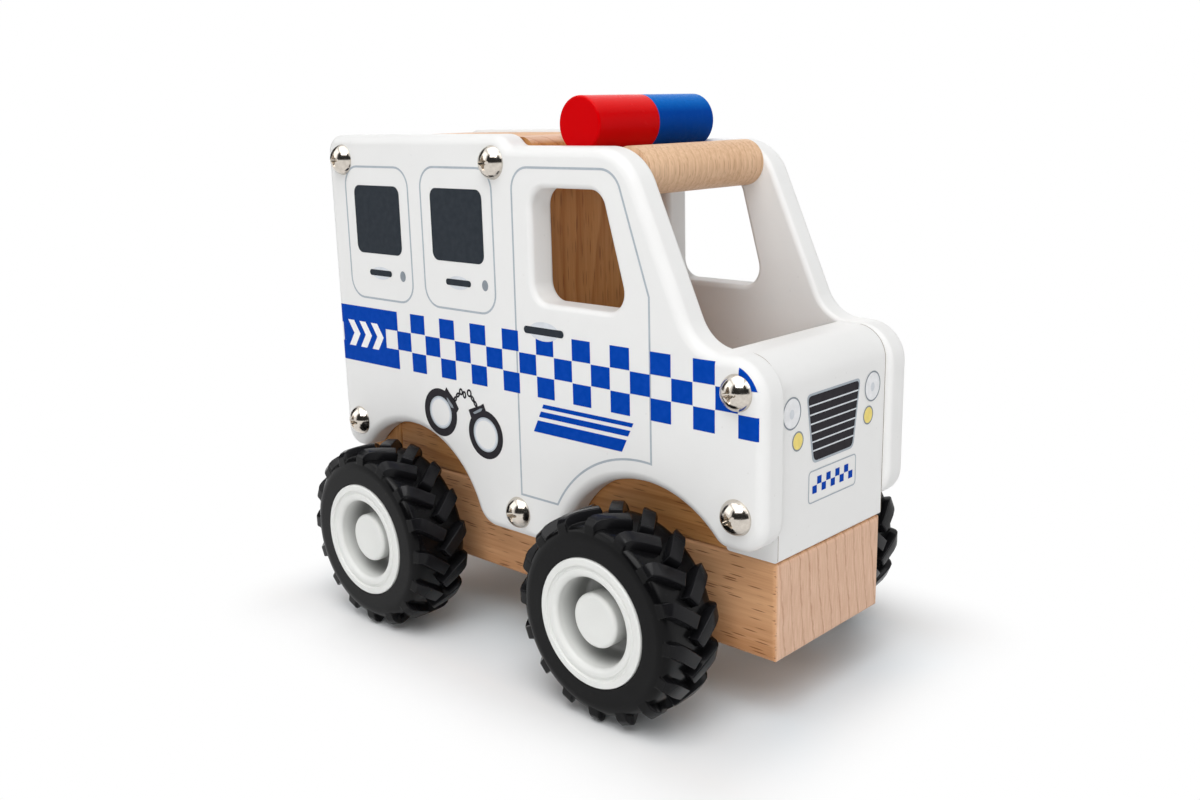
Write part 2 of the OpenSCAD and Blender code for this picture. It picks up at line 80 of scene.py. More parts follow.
BEACON_EDGE = 0.7
CAB_ROOF_Z = 147.0
SEAT_CLEAR = 0.03
TYRE_IN = 34.5
TYRE_OUT = 54.5
TYRE_R = 28.695
TYRE_WALL_R = 22.2
LUG_N = 16
LUG_SHIFT = 6.6
LUG_KNEE = 2.0
LUG_REACH = 10.4
RIM_R = 17.6
RIM_FACE = 55.0
RIM_BACK = RIM_FACE - 2.4
BARREL_R = 15.5
BARREL_WALL = 2.5
BARREL_START = TYRE_IN + 3.2
BARREL_END = RIM_FACE - 3.3
FLANGE_R = RIM_R - 0.9
FLANGE_FACE = TYRE_IN + 0.7
FLANGE_BACK = TYRE_IN + 2.3
FLANGE_PLAY = 0.1
BOWL_R = 11.8
BOWL_FLOOR = 43.0
BOWL_WALL = 3.0
BOWL_ROUND = 1.4
BOSS_R = 7.0
BOSS_FACE = 25.5
AXLE_HOLE_R = 2.53
CAP_R = 7.5
CAP_FACE = 53.0
CAP_EDGE = 1.2
CAP_GAP = 1.0
CAP_BOSS_R = 6.2
CAP_BOSS_H = 3.0
HEAD_R = 4.75
HEAD_H = 3.5
HEAD_RINGS = (HEAD_R, 4.6, 4.3, 3.9, 3.4, 2.9, 2.45)
CROSS_L = 2.1
CROSS_W = 0.55
CROSS_DEPTH = 1.7
CROSS_TAPER = (0.42, 0.62)
JOINT_W = 0.22
JOINT_LIFT = 0.03
SCREW_PLACES = [(-77.6, 144.1, 0), (-7.0, 144.1, 5), (-77.6, 58.9, -6), (-1.5, 43.0, 0),
                (77.6, 90.6, 5), (77.6, 58.9, 36)]
RIGHT = -1.0
LEFT = 1.0
SIDES = ((RIGHT, "right"), (LEFT, "left"))


# Meshes
CREASE = cos(radians(50.0))
NO_AREA = 1e-9


def in_scene(name, data):
    made = bpy.data.objects.new(name, data)
    bpy.context.scene.collection.objects.link(made)
    return made


class Builder:
    """Collects points in millimetres, faces and normals for one piece."""

    def __init__(self):
        self.verts = []
        self.faces = []
        self.normals = []

    def add(self, points, normals):
        start = len(self.verts)
        self.verts += [tuple(p) for p in points]
        self.normals += [tuple(n) for n in normals]
        return list(range(start, start + len(points)))

    def bridge(self, a, b, closed=True):
        n = len(a)
        for i in range(n if closed else n - 1):
            j = (i + 1) % n
            self.faces.append((a[i], a[j], b[j], b[i]))

    def fill(self, loops):
        """Fills the area between an outer loop and the holes in it."""
        points = [[Vector(self.verts[i]) for i in loop] for loop in loops]
        flat = [i for loop in loops for i in loop]
        self.faces += [(flat[a], flat[b], flat[c]) for a, b, c in tessellate_polygon(points)]

    def turn(self, profile, place, n=96):
        """Turns a profile of (radius, along) points, solid on its left, about an axis."""
        segments = []
        for (r0, a0), (r1, a1) in zip(profile, profile[1:]):
            length = hypot(r1 - r0, a1 - a0)
            segments.append(((r0, a0), (r1, a1), ((a1 - a0) / length, (r0 - r1) / length), length))
        for i, (start, end, out, length) in enumerate(segments):
            rims = []
            for point, near in ((start, i - 1), (end, i + 1)):
                normal = out
                if 0 <= near < len(segments):
                    other, weight = segments[near][2:]
                    if out[0] * other[0] + out[1] * other[1] > CREASE:
                        normal = (out[0] * length + other[0] * weight, out[1] * length + other[1] * weight)
                ring = [place(point, normal, 2 * pi * k / n) for k in range(n)]
                rims.append(self.add([p for p, _ in ring], [q for _, q in ring]))
            self.bridge(*rims)
        return self

    def face_out(self):
        """Turns each face so that it looks the way its points' normals do."""
        for i, face in enumerate(self.faces):
            a, b, c = (Vector(self.verts[k]) for k in face[:3])
            flat = (b - a).cross(c - a)
            if len(face) == 4 and flat.length < NO_AREA:
                flat = (c - a).cross(Vector(self.verts[face[3]]) - a)
            if flat.dot(sum((Vector(self.normals[k]) for k in face), Vector())) < 0:
                self.faces[i] = tuple(reversed(face))

    def piece(self, name, material, body="body", slot=None):
        """Makes the piece, smooth by its normals, riding on a CAD body."""
        self.face_out()
        mesh = bpy.data.meshes.new(name)
        mesh.from_pydata([(x * MM, y * MM, z * MM) for x, y, z in self.verts], [], self.faces)
        mesh.validate()
        mesh.materials.append(material)
        mesh.polygons.foreach_set("use_smooth", [True] * len(mesh.polygons))
        mesh.normals_split_custom_set_from_vertices([Vector(n).normalized() for n in self.normals])
        mesh.update()
        piece = in_scene(name, mesh)
        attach(piece, body)
        return piece


def across(cx, cz, side, floor=None):
    """Places a turned profile about an axis across the van, flattened underneath at floor."""
    def place(point, normal, angle):
        r, along = point
        s, c = sin(angle), cos(angle)
        z = cz + r * c
        if floor is not None and z < floor:
            return (cx + r * s, side * along, floor), (0.0, 0.0, -1.0)
        return (cx + r * s, side * along, z), (normal[0] * s, side * normal[1], normal[0] * c)
    return place


def bend(cx, cy, r, start, end, n=6):
    """Points on an arc, with its angles in degrees."""
    angles = [radians(start + (end - start) * i / n) for i in range(n + 1)]
    return [(cx + r * cos(a), cy + r * sin(a)) for a in angles]


def turned(points, turn, cx=0.0, cz=0.0):
    """Points turned about the origin and then moved."""
    c, s = cos(radians(turn)), sin(radians(turn))
    return [(cx + u * c - v * s, cz + u * s + v * c) for u, v in points]


def ellipse(cx, cz, rx, rz, n=40):
    angles = [2 * pi * i / n for i in range(n)]
    return [(cx + rx * cos(a), cz + rz * sin(a)) for a in angles]


# Outlines
BEND_STEP = 5.0
WIDE_R = 16.0
WIDE_STEP = 3.0


def heading(a, b):
    dx, dz = b[0] - a[0], b[1] - a[1]
    s = (a[2] - b[2]) / hypot(dx, dz)
    return atan2(dz, dx) + asin(max(-1.0, min(1.0, s)))


def outline(corners, inset=0.0):
    """Points and outward normals of an outline that bends round circles (x, z, radius), drawn in by inset.

    The radius is positive where the outline turns left and negative where it turns right.
    """
    points, normals = [], []
    n = len(corners)
    for k in range(n):
        a, b, c = corners[k - 1], corners[k], corners[(k + 1) % n]
        h = heading(a, b)
        t = (heading(b, c) - h) % (2 * pi)
        if b[2] < 0:
            t -= 2 * pi
        m = max(1, ceil(abs(degrees(t)) / (BEND_STEP if abs(b[2]) < WIDE_R else WIDE_STEP)))
        touching = abs(abs(b[2] - c[2]) - hypot(c[0] - b[0], c[1] - b[1])) < 0.001
        for j in range(m if touching else m + 1):
            g = h + t * j / m
            r = b[2] - inset
            points.append((b[0] + r * sin(g), b[1] - r * cos(g)))
            normals.append((sin(g), -cos(g)))
    return points, normals


def arch_blend(axle_x, z, r, ahead):
    return (axle_x + ahead * sqrt((ARCH_R + r) ** 2 - (z + r - AXLE_Z) ** 2), z + r, r)


def lean_corner(foot_x, z, lean, r, above):
    s = r if above else -r
    return (foot_x + s * tan((pi / 2 - lean) / 2), z + s, -s)


SCREEN_TOP_X = SCREEN_FOOT_X - (CAB_TOP_Z - HOOD_Z) * tan(SCREEN_LEAN)
STEP_OUT_R = 7
STEP_IN_R = 4
STEP_RISE = (CAB_TOP_Z + STEP_IN_R) - (CARGO_TOP_Z - STEP_OUT_R)
STEP_RUN = sqrt((STEP_OUT_R + STEP_IN_R) ** 2 - STEP_RISE ** 2)
PANEL_CORNERS = [
    (-PANEL_X + 6, TAIL_Z + 6, 6),
    arch_blend(REAR_AXLE_X, TAIL_Z, 5, -1),
    (REAR_AXLE_X, AXLE_Z, -ARCH_R),
    arch_blend(REAR_AXLE_X, SILL_Z, 8, 1),
    arch_blend(FRONT_AXLE_X, SILL_Z, 8, -1),
    (FRONT_AXLE_X, AXLE_Z, -ARCH_R),
    arch_blend(FRONT_AXLE_X, TAIL_Z, 5, 1),
    (PANEL_X - 8, TAIL_Z + 8, 8),
    (PANEL_X - 11, HOOD_Z - 11, 11),
    lean_corner(SCREEN_FOOT_X, HOOD_Z, SCREEN_LEAN, 12, True),
    lean_corner(SCREEN_TOP_X, CAB_TOP_Z, SCREEN_LEAN, 15, False),
    (PARTITION_MID_X + STEP_RUN, CAB_TOP_Z + STEP_IN_R, -STEP_IN_R),
    (PARTITION_MID_X, CARGO_TOP_Z - STEP_OUT_R, STEP_OUT_R),
    (-PANEL_X + 5.5, CARGO_TOP_Z - 5.5, 5.5),
]
WINDOW_LEAN = radians(15.9)
WINDOW_R = 5.5
WINDOW_BACK = 7.6
WINDOW_FOOT = 42.8
WINDOW_LOW = 106.2
WINDOW_HIGH = 137.6
WINDOW_CORNERS = [
    (WINDOW_BACK + WINDOW_R, WINDOW_LOW + WINDOW_R, WINDOW_R),
    (WINDOW_FOOT - WINDOW_R * tan(pi / 4 + WINDOW_LEAN / 2), WINDOW_LOW + WINDOW_R, WINDOW_R),
    lean_corner(WINDOW_FOOT - (WINDOW_HIGH - WINDOW_LOW) * tan(WINDOW_LEAN), WINDOW_HIGH, WINDOW_LEAN,
                WINDOW_R, False),
    (WINDOW_BACK + WINDOW_R, WINDOW_HIGH - WINDOW_R, WINDOW_R),
]
PANEL_EDGE = np.array(outline(PANEL_CORNERS)[0])
EDGE_STEP = np.roll(PANEL_EDGE, -1, axis=0) - PANEL_EDGE
EDGE_SPAN = np.maximum((EDGE_STEP ** 2).sum(axis=1), 1e-12)


def edge_distance(x, z):
    """How far a point of the panel lies from the panel's outline."""
    away = np.array((x, z)) - PANEL_EDGE
    along = np.clip((away * EDGE_STEP).sum(axis=1) / EDGE_SPAN, 0.0, 1.0)
    return sqrt(((away - along[:, None] * EDGE_STEP) ** 2).sum(axis=1).min())


def edge_round(inset_r, y, toward, n):
    """A quarter round as (inset, y, share of the normal along the panel, share across it)."""
    turns = bend(0.0, 0.0, 1.0, 0, 90, n)
    return [(inset_r * (1 - c), y - toward * abs(inset_r) * (1 - s), c, toward * s) for c, s in turns]


def panel_piece(name, side, material):
    made = Builder()

    def sweep(corners, sections, turn):
        loops = []
        for inset, y, flat, out in sections:
            points, normals = outline(corners, inset)
            loops.append(made.add([(x, side * y, z) for x, z in points],
                                  [(turn * nx * flat, side * out, turn * nz * flat) for nx, nz in normals]))
        for a, b in zip(loops, loops[1:]):
            made.bridge(a, b)
        return loops[0], loops[-1]

    rim = edge_round(EDGE_IN, INNER_Y, -1, 4)[::-1] + edge_round(EDGE_OUT, OUTER_Y, 1, 8)
    hole = edge_round(-WINDOW_EDGE, INNER_Y, -1, 6)[::-1] + edge_round(-WINDOW_EDGE, OUTER_Y, 1, 6)
    for around, inside in zip(sweep(PANEL_CORNERS, rim, 1), sweep(WINDOW_CORNERS, hole, -1)):
        made.fill([around, inside])
    return made.piece(name, material, slot="white_paint")


def board_outline(x, z0, z1, nose_r):
    """An upright board's section, whose front top edge has a radius of its own."""
    e = BOARD_EDGE
    back = x - BOARD_T
    return outline([(back + e, z0 + e, e), (x - e, z0 + e, e), (x - nose_r, z1 - nose_r, nose_r),
                    (back + e, z1 - e, e)])


def board_piece(name, section, material, slot):
    points, normals = section
    made = Builder()
    made.bridge(*(made.add([(x, y, z) for x, z in points], [(nx, 0.0, nz) for nx, nz in normals])
                  for y in (-INNER_Y, INNER_Y)))
    for y in (-INNER_Y, INNER_Y):
        made.fill([made.add([(x, y, z) for x, z in points], [(0.0, y, 0.0)] * len(points))])
    return made.piece(name, material, slot=slot)


def joint_piece(name, section, material):
    """The thin dark joints down both ends of an upright board's front face: glue in the joint, and painted
    shade of the gap there.
    """
    edge = [(p, n) for p, n in zip(*section) if n[0] > 0.02 and n[1] > -0.3]
    made = Builder()
    for side, _ in SIDES:
        strips = []
        for y in (INNER_Y - JOINT_W, INNER_Y):
            points = [(x + JOINT_LIFT * nx, side * y, z + JOINT_LIFT * nz) for (x, z), (nx, nz) in edge]
            strips.append(made.add(points, [(nx, 0.0, nz) for _, (nx, nz) in edge]))
        made.bridge(*strips, closed=False)
    return made.piece(name, material)


def bar_piece(name, material):
    profile = [(0.0, -INNER_Y), (BAR_R, -INNER_Y), (BAR_R, INNER_Y), (0.0, INNER_Y)]
    return Builder().turn(profile, across(BAR_X, BAR_Z, LEFT)).piece(name, material, slot="beech")


def beacon_piece(name, side, material, slot):
    edge = bend(BEACON_R - BEACON_EDGE, BEACON_HALF - BEACON_EDGE, BEACON_EDGE, 0, 90)
    profile = [(0.0, 0.0), (BEACON_R, 0.0)] + edge + [(0.0, BEACON_HALF)]
    made = Builder().turn(profile, across(BEACON_X, BEACON_Z, side, CAB_ROOF_Z), 120)
    return made.piece(name, material, slot=slot)


def cross_outline(length, width):
    """A cross with blunt tips and hollowed inner corners."""
    flank = [(width * 2.2, width * 0.95), (length * 0.86, width * 0.72), (length, width * 0.36)]
    arm = [(width * 1.35, -width * 1.35)] + [(u, -v) for u, v in flank] + flank[::-1]
    return [p for k in range(4) for p in turned(arm, 90 * k)]


def screw_piece(name, side, material):
    """Domed heads with a tapered cross recess, over one side's screws."""
    ball = (HEAD_R ** 2 + HEAD_H ** 2) / (2 * HEAD_H)

    def dome(u, v):
        w = sqrt(ball ** 2 - u * u - v * v) + HEAD_H - ball
        return w, (u, v, w - HEAD_H + ball)

    cross = cross_outline(CROSS_L, CROSS_W)
    low = cross_outline(CROSS_L * CROSS_TAPER[0], CROSS_W * CROSS_TAPER[1])
    tops = [dome(u, v)[0] for u, v in cross]
    floor = HEAD_H - CROSS_DEPTH
    made = Builder()
    for x, z, angle in SCREW_PLACES:
        ca, sa = cos(radians(angle)), sin(radians(angle))

        def put(points, normals):
            return made.add(
                [(x + u * ca - v * sa, side * (OUTER_Y + w), z + u * sa + v * ca) for u, v, w in points],
                [(a * ca - b * sa, side * c, a * sa + b * ca) for a, b, c in normals])

        def on_dome(loop):
            placed = [dome(u, v) for u, v in loop]
            return put([(u, v, w) for (u, v), (w, _) in zip(loop, placed)], [n for _, n in placed])

        rings = [on_dome(ellipse(0, 0, r, r, 48)) for r in HEAD_RINGS]
        for a, b in zip(rings, rings[1:]):
            made.bridge(a, b)
        made.fill([rings[-1], on_dome(cross)])
        for i in range(len(cross)):
            j = (i + 1) % len(cross)
            wall = [cross[i] + (tops[i],), cross[j] + (tops[j],), low[j] + (floor,), low[i] + (floor,)]
            flat = (Vector(wall[1]) - Vector(wall[0])).cross(Vector(wall[2]) - Vector(wall[0]))
            middle = (Vector(wall[0]) + Vector(wall[2])) / 2
            if flat.dot(Vector((middle.x, middle.y, -1.0))) > 0:
                flat = -flat
            made.faces.append(tuple(put(wall, [tuple(flat)] * 4)))
        made.fill([put([p + (floor,) for p in low], [(0, 0, 1)] * len(low))])
    return made.piece(name, material, slot="nickel")


# Wheels
RIM_EDGE = 0.4
GROOVE_EDGE = 0.2
GROOVE_OUT = RIM_R - 2.0
GROOVE_IN = GROOVE_OUT - 1.0
BEAD_R = GROOVE_IN - 0.9
BEAD_FACE = RIM_FACE - 0.2
BEAD_ROUND = 1.4
HUB_PROFILE = [
    (AXLE_HOLE_R, BOSS_FACE), (BOSS_R, BOSS_FACE), (BOSS_R, BOWL_FLOOR - BOWL_WALL),
    (BARREL_R - BARREL_WALL, BOWL_FLOOR - BOWL_WALL), (BARREL_R - BARREL_WALL, FLANGE_FACE),
    (FLANGE_R, FLANGE_FACE), (FLANGE_R, FLANGE_BACK), (BARREL_R, BARREL_START), (BARREL_R, BARREL_END),
    (RIM_R, RIM_BACK),
    *bend(RIM_R - RIM_EDGE, RIM_FACE - RIM_EDGE, RIM_EDGE, 0, 90),
    *bend(GROOVE_OUT + GROOVE_EDGE, RIM_FACE - GROOVE_EDGE, GROOVE_EDGE, 90, 180, 4),
    (GROOVE_OUT - 0.12, RIM_FACE - 0.5), (GROOVE_OUT - 0.24, RIM_FACE - 0.6),
    (GROOVE_IN + 0.24, RIM_FACE - 0.6), (GROOVE_IN + 0.12, RIM_FACE - 0.5),
    *bend(GROOVE_IN - GROOVE_EDGE, BEAD_FACE - GROOVE_EDGE, GROOVE_EDGE, 0, 90, 4),
    *bend(BEAD_R, BEAD_FACE - BEAD_ROUND, BEAD_ROUND, 90, 180, 9),
    *bend(BOWL_R - BOWL_ROUND, BOWL_FLOOR + BOWL_ROUND, BOWL_ROUND, 0, -90),
    (CAP_BOSS_R, BOWL_FLOOR), (CAP_BOSS_R, BOWL_FLOOR + CAP_BOSS_H), (AXLE_HOLE_R, BOWL_FLOOR + CAP_BOSS_H),
    (AXLE_HOLE_R, BOSS_FACE),
]
CAP_PROFILE = [
    (CAP_BOSS_R + SEAT_CLEAR, BOWL_FLOOR + CAP_GAP), (CAP_R, BOWL_FLOOR + CAP_GAP),
    *bend(CAP_R - CAP_EDGE, CAP_FACE - CAP_EDGE, CAP_EDGE, 0, 90, 8), (0.0, CAP_FACE),
]
# A tyre's shoulder, as (distance in from the sidewall, radius) on the carcass and over the lugs
CARCASS = [(0.0, 23.2), (0.35, 24.3), (0.8, 25.0), (1.5, 25.5), (2.4, 25.8), (4.2, 25.9), (10.0, 25.95)]
LUG_TOP = [(0.3, 25.9), (0.5, 26.5), (0.9, 27.2), (1.5, 27.9), (2.4, 28.4), (3.6, TYRE_R), (12.0, TYRE_R)]
TYRE_BORE = RIM_R + SEAT_CLEAR
BEAD_BORE = BARREL_R + SEAT_CLEAR
TYRE_PROFILE = [
    (BEAD_BORE, BARREL_START + FLANGE_PLAY), (FLANGE_R + SEAT_CLEAR, FLANGE_BACK + FLANGE_PLAY),
    (FLANGE_R + SEAT_CLEAR, FLANGE_FACE + FLANGE_PLAY), (TYRE_BORE, TYRE_IN + 0.3),
    (TYRE_BORE + 0.8, TYRE_IN), (TYRE_WALL_R, TYRE_IN),
    *[(radius, TYRE_IN + d) for d, radius in CARCASS],
    *[(radius, TYRE_OUT - d) for d, radius in reversed(CARCASS[:-1])],
    (TYRE_WALL_R, TYRE_OUT), (TYRE_BORE + 0.9, TYRE_OUT),
    *bend(TYRE_BORE + 0.5, TYRE_OUT - 0.5, 0.5, 90, 180, 4),
    (TYRE_BORE, RIM_BACK - FLANGE_PLAY), (BEAD_BORE, BARREL_END - FLANGE_PLAY),
    (BEAD_BORE, BARREL_START + FLANGE_PLAY),
]
# A lug's section, as (distance from its middle, share of its height)
LUG_SIDE = [(2.45, -0.06), (2.15, 0.1), (1.85, 0.88), (1.6, 1.0)]
LUG_SECTION = [(-w, f) for w, f in LUG_SIDE] + [(w, f) for w, f in reversed(LUG_SIDE)]
# Stations along a lug's middle line, as (distance in from the sidewall, largest share of its height)
LUG_LINE = [(0.28, -0.06), (0.34, 0.3), (0.5, 0.97), (0.58, 1.0), (0.9, 1.0), (1.5, 1.0), (2.4, 1.0),
            (3.6, 1.0), (5.2, 1.0), (7.2, 1.0), (9.6, 1.0), (9.85, 0.97), (10.05, 0.88), (10.35, 0.1),
            (10.5, -0.06)]
KNEE_SOFT = 0.45


def turned_piece(name, profile, axle_x, side, material, body):
    made = Builder().turn(profile, across(axle_x, AXLE_Z, side))
    return made.piece(name, material, body, "rim_plastic")


def lug_shift(d):
    """How far a lug's middle line has moved round the tyre, and its slope there."""
    gain = LUG_SHIFT / (LUG_REACH - LUG_KNEE)
    past = (d - LUG_KNEE) / KNEE_SOFT
    return gain * KNEE_SOFT * log1p(exp(past)), gain / (1 + exp(-past))


def lug(made, axle_x, side, outer, angle):
    """One chamfered bar that runs straight over the shoulder and then slants to the tread's middle."""
    rows = []
    for middle, share in LUG_LINE:
        shift, slope = lug_shift(middle)
        tilt = sqrt(1 + slope * slope)
        row = []
        for w, f in LUG_SECTION:
            d = max(0.1, middle - w * slope / tilt)
            low = np.interp(d, *zip(*CARCASS))
            top = np.interp(d, *zip(*LUG_TOP))
            r = low + (top - low) * min(f, share)
            phi = angle + (shift + w / tilt) / TYRE_R
            y = TYRE_OUT - d if outer else TYRE_IN + d
            row.append(Vector((axle_x + r * sin(phi), side * y, AXLE_Z + r * cos(phi))))
        rows.append(row)
    count = len(LUG_SECTION)
    sums = [[Vector() for _ in range(count)] for _ in rows]
    quads = []
    for i in range(len(rows) - 1):
        for j in range(count - 1):
            corners = ((i, j), (i + 1, j), (i + 1, j + 1), (i, j + 1))
            a, b, c, d = (rows[m][k] for m, k in corners)
            flat = (c - a).cross(d - b)
            quads.append(corners)
            for m, k in corners:
                sums[m][k] += flat
    flip = 1.0 if outer == (side > 0) else -1.0
    ids = made.add([p for row in rows for p in row], [n * flip for row in sums for n in row])
    for corners in quads:
        made.faces.append(tuple(ids[m * count + k] for m, k in corners))


def tyre_piece(name, axle_x, side, material, body):
    made = Builder().turn(TYRE_PROFILE, across(axle_x, AXLE_Z, side), 128)
    for i in range(LUG_N):
        for is_outer, phase in ((True, 0.0), (False, 0.5)):
            lug(made, axle_x, side, is_outer, 2 * pi * (i + phase) / LUG_N)
    return made.piece(name, material, body, "tyre_rubber")


# Prints: thin sheets that lie on a painted face, with these heights above it
LINE_LIFT = 0.03
LIFT = 0.05
OVER_LIFT = 0.07
MARK_LIFT = 0.08
TOP_LIFT = 0.09
BAR_LIFT = 0.11
SLOPE_STEP = 0.02
THIN = 0.02
SHARP_TURN = 0.4


def on_panel(side, lift=LIFT):
    def place(x, z):
        d = edge_distance(x, z)
        normal = (0.0, side, 0.0)
        drop = 0.0
        if d < EDGE_OUT:
            h = SLOPE_STEP
            slope = (EDGE_OUT - d) / EDGE_OUT
            toward_x = (edge_distance(x - h, z) - edge_distance(x + h, z)) / (2 * h)
            toward_z = (edge_distance(x, z - h) - edge_distance(x, z + h)) / (2 * h)
            normal = (toward_x * slope, side * sqrt(1 - slope * slope), toward_z * slope)
            drop = EDGE_OUT - sqrt(EDGE_OUT ** 2 - (EDGE_OUT - d) ** 2)
        return (x, side * (OUTER_Y - drop) + lift * normal[1], z), normal
    return place


def on_front(lift=LIFT):
    return lambda y, z: ((FRONT_X + lift, y, z), (1.0, 0.0, 0.0))


def rounded_box(x0, z0, x1, z1, r):
    corners = ((x1 - r, z0 + r, -90), (x1 - r, z1 - r, 0), (x0 + r, z1 - r, 90), (x0 + r, z0 + r, 180))
    return [p for cx, cz, start in corners for p in bend(cx, cz, r, start, start + 90, 8)]


def box(x, z, width, height):
    return [(x, z), (x + width, z), (x + width, z + height), (x, z + height)]


def ribbon(points, width):
    """The two edges of a line of one width along a closed loop."""
    n = len(points)
    left, right = [], []
    for i, (x, z) in enumerate(points):
        before, after = points[i - 1], points[(i + 1) % n]
        ax, az = x - before[0], z - before[1]
        bx, bz = after[0] - x, after[1] - z
        la, lb = hypot(ax, az) or NO_AREA, hypot(bx, bz) or NO_AREA
        tx, tz = ax / la + bx / lb, az / la + bz / lb
        lt = hypot(tx, tz) or NO_AREA
        tx, tz = tx / lt, tz / lt
        w = width / 2 / max(SHARP_TURN, (tx * bx + tz * bz) / lb if lb > NO_AREA else 1.0)
        left.append((x - tz * w, z + tx * w))
        right.append((x + tz * w, z - tx * w))
    return left, right


class Print(Builder):
    """A printed sheet, drawn in the two coordinates of its face."""

    def __init__(self, place):
        super().__init__()
        self.place = place

    def put(self, points):
        placed = [self.place(*p) for p in points]
        return self.add([p for p, _ in placed], [n for _, n in placed])

    def areas(self, *loops):
        for loop in loops:
            self.fill([self.put(loop)])
        return self

    def lines(self, width, *loops):
        for loop in loops:
            self.bridge(*(self.put(edge) for edge in ribbon(loop, width)))
        return self

    def patch(self, x0, x1, low, high, nx=1, nz=1, roof=None):
        """An upright patch, cut off where the roof given for it comes down."""
        rows = []
        for i in range(nx + 1):
            x = x0 + (x1 - x0) * i / nx
            top = max(low + THIN, min(high, roof(x))) if roof else high
            rows.append(self.put([(x, low + (top - low) * j / nz) for j in range(nz + 1)]))
        for a, b in zip(rows, rows[1:]):
            self.bridge(a, b, closed=False)


def print_areas(name, place, material, *loops, slot=None):
    Print(place).areas(*loops).piece(name, material, slot=slot)


# Materials
def linear(r, g, b):
    """Screen colour values from 0 to 255, as the linear values that shaders take."""
    def one(c):
        c = c / 255.0
        return c / 12.92 if c <= 0.04045 else ((c + 0.055) / 1.055) ** 2.4
    return (one(r), one(g), one(b), 1.0)


def dimmed(colour, share):
    return tuple(c * share for c in colour[:3]) + (1.0,)


class Nodes:
    """A node tree, with short calls for the nodes used here."""

    def __init__(self, tree):
        self.tree = tree

    def node(self, kind, settings=(), **inputs):
        made = self.tree.nodes.new(kind)
        for key, value in dict(settings).items():
            setattr(made, key, value)
        for key, value in inputs.items():
            self.feed(made.inputs[key.replace("_", " ")], value)
        return made

    def feed(self, socket, value):
        if isinstance(value, bpy.types.NodeSocket):
            self.tree.links.new(value, socket)
        else:
            socket.default_value = value

    def math(self, how, a, b=0.5):
        made = self.node("ShaderNodeMath", {"operation": how})
        self.feed(made.inputs[0], a)
        self.feed(made.inputs[1], b)
        return made.outputs[0]

    def times(self, a, b):
        return self.math("MULTIPLY", a, b)

    def plus(self, a, b):
        return self.math("ADD", a, b)

    def minus(self, a, b):
        return self.math("SUBTRACT", a, b)

    def beyond(self, a, limit):
        """How far a value's size is past a limit."""
        return self.minus(self.math("ABSOLUTE", a), limit)

    def larger(self, a, b):
        return self.math("MAXIMUM", a, b)

    def length(self, a, b):
        return self.math("SQRT", self.plus(self.times(a, a), self.times(b, b)))

    def span(self, value, low, high, to_low=0.0, to_high=1.0, how="LINEAR"):
        made = self.node("ShaderNodeMapRange", {"interpolation_type": how}, Value=value, From_Min=low,
                         From_Max=high, To_Min=to_low, To_Max=to_high)
        return made.outputs["Result"]

    def axes(self, vector):
        made = self.node("ShaderNodeSeparateXYZ", Vector=vector)
        return made.outputs["X"], made.outputs["Y"], made.outputs["Z"]

    def join(self, x, y, z):
        return self.node("ShaderNodeCombineXYZ", X=x, Y=y, Z=z).outputs["Vector"]


class Look(Nodes):
    """A material's node tree."""

    def __init__(self, name):
        self.material = bpy.data.materials.new(name)
        self.material.use_nodes = True
        super().__init__(self.material.node_tree)
        self.shader = self.tree.nodes["Principled BSDF"]

    def set(self, **inputs):
        for key, value in inputs.items():
            self.feed(self.shader.inputs[key.replace("_", " ")], value)

    def place(self, scale=(1, 1, 1)):
        """Position on the piece in millimetres, scaled."""
        coords = self.node("ShaderNodeTexCoord")
        mapping = self.node("ShaderNodeMapping", Vector=coords.outputs["Object"])
        mapping.inputs["Scale"].default_value = [s / MM for s in scale]
        return mapping.outputs["Vector"]

    def facing(self):
        return self.axes(self.node("ShaderNodeTexCoord").outputs["Normal"])

    def noise(self, vector, scale=1.0, detail=2.0, rough=0.5):
        made = self.node("ShaderNodeTexNoise", Vector=vector, Scale=scale, Detail=detail, Roughness=rough)
        return made.outputs["Fac"]

    def cells(self, vector, scale=1.0):
        made = self.node("ShaderNodeTexVoronoi", Vector=vector, Scale=scale)
        return made.outputs["Distance"], made.outputs["Color"]

    def ramp(self, fac, *stops):
        made = self.node("ShaderNodeValToRGB", Fac=fac)
        points = made.color_ramp.elements
        while len(points) < len(stops):
            points.new(0.5)
        for point, (position, level) in zip(points, stops):
            point.position = position
            point.color = (level, level, level, 1)
        return made.outputs["Color"]

    def mix(self, fac, a, b):
        made = self.node("ShaderNodeMix", {"data_type": "RGBA"})
        for index, value in ((0, fac), (6, a), (7, b)):
            self.feed(made.inputs[index], value)
        return made.outputs[2]

    def bump(self, height, strength, distance):
        made = self.node("ShaderNodeBump", Height=height, Strength=strength, Distance=distance * MM)
        self.feed(self.shader.inputs["Normal"], made.outputs["Normal"])


DUST = linear(120, 112, 104)


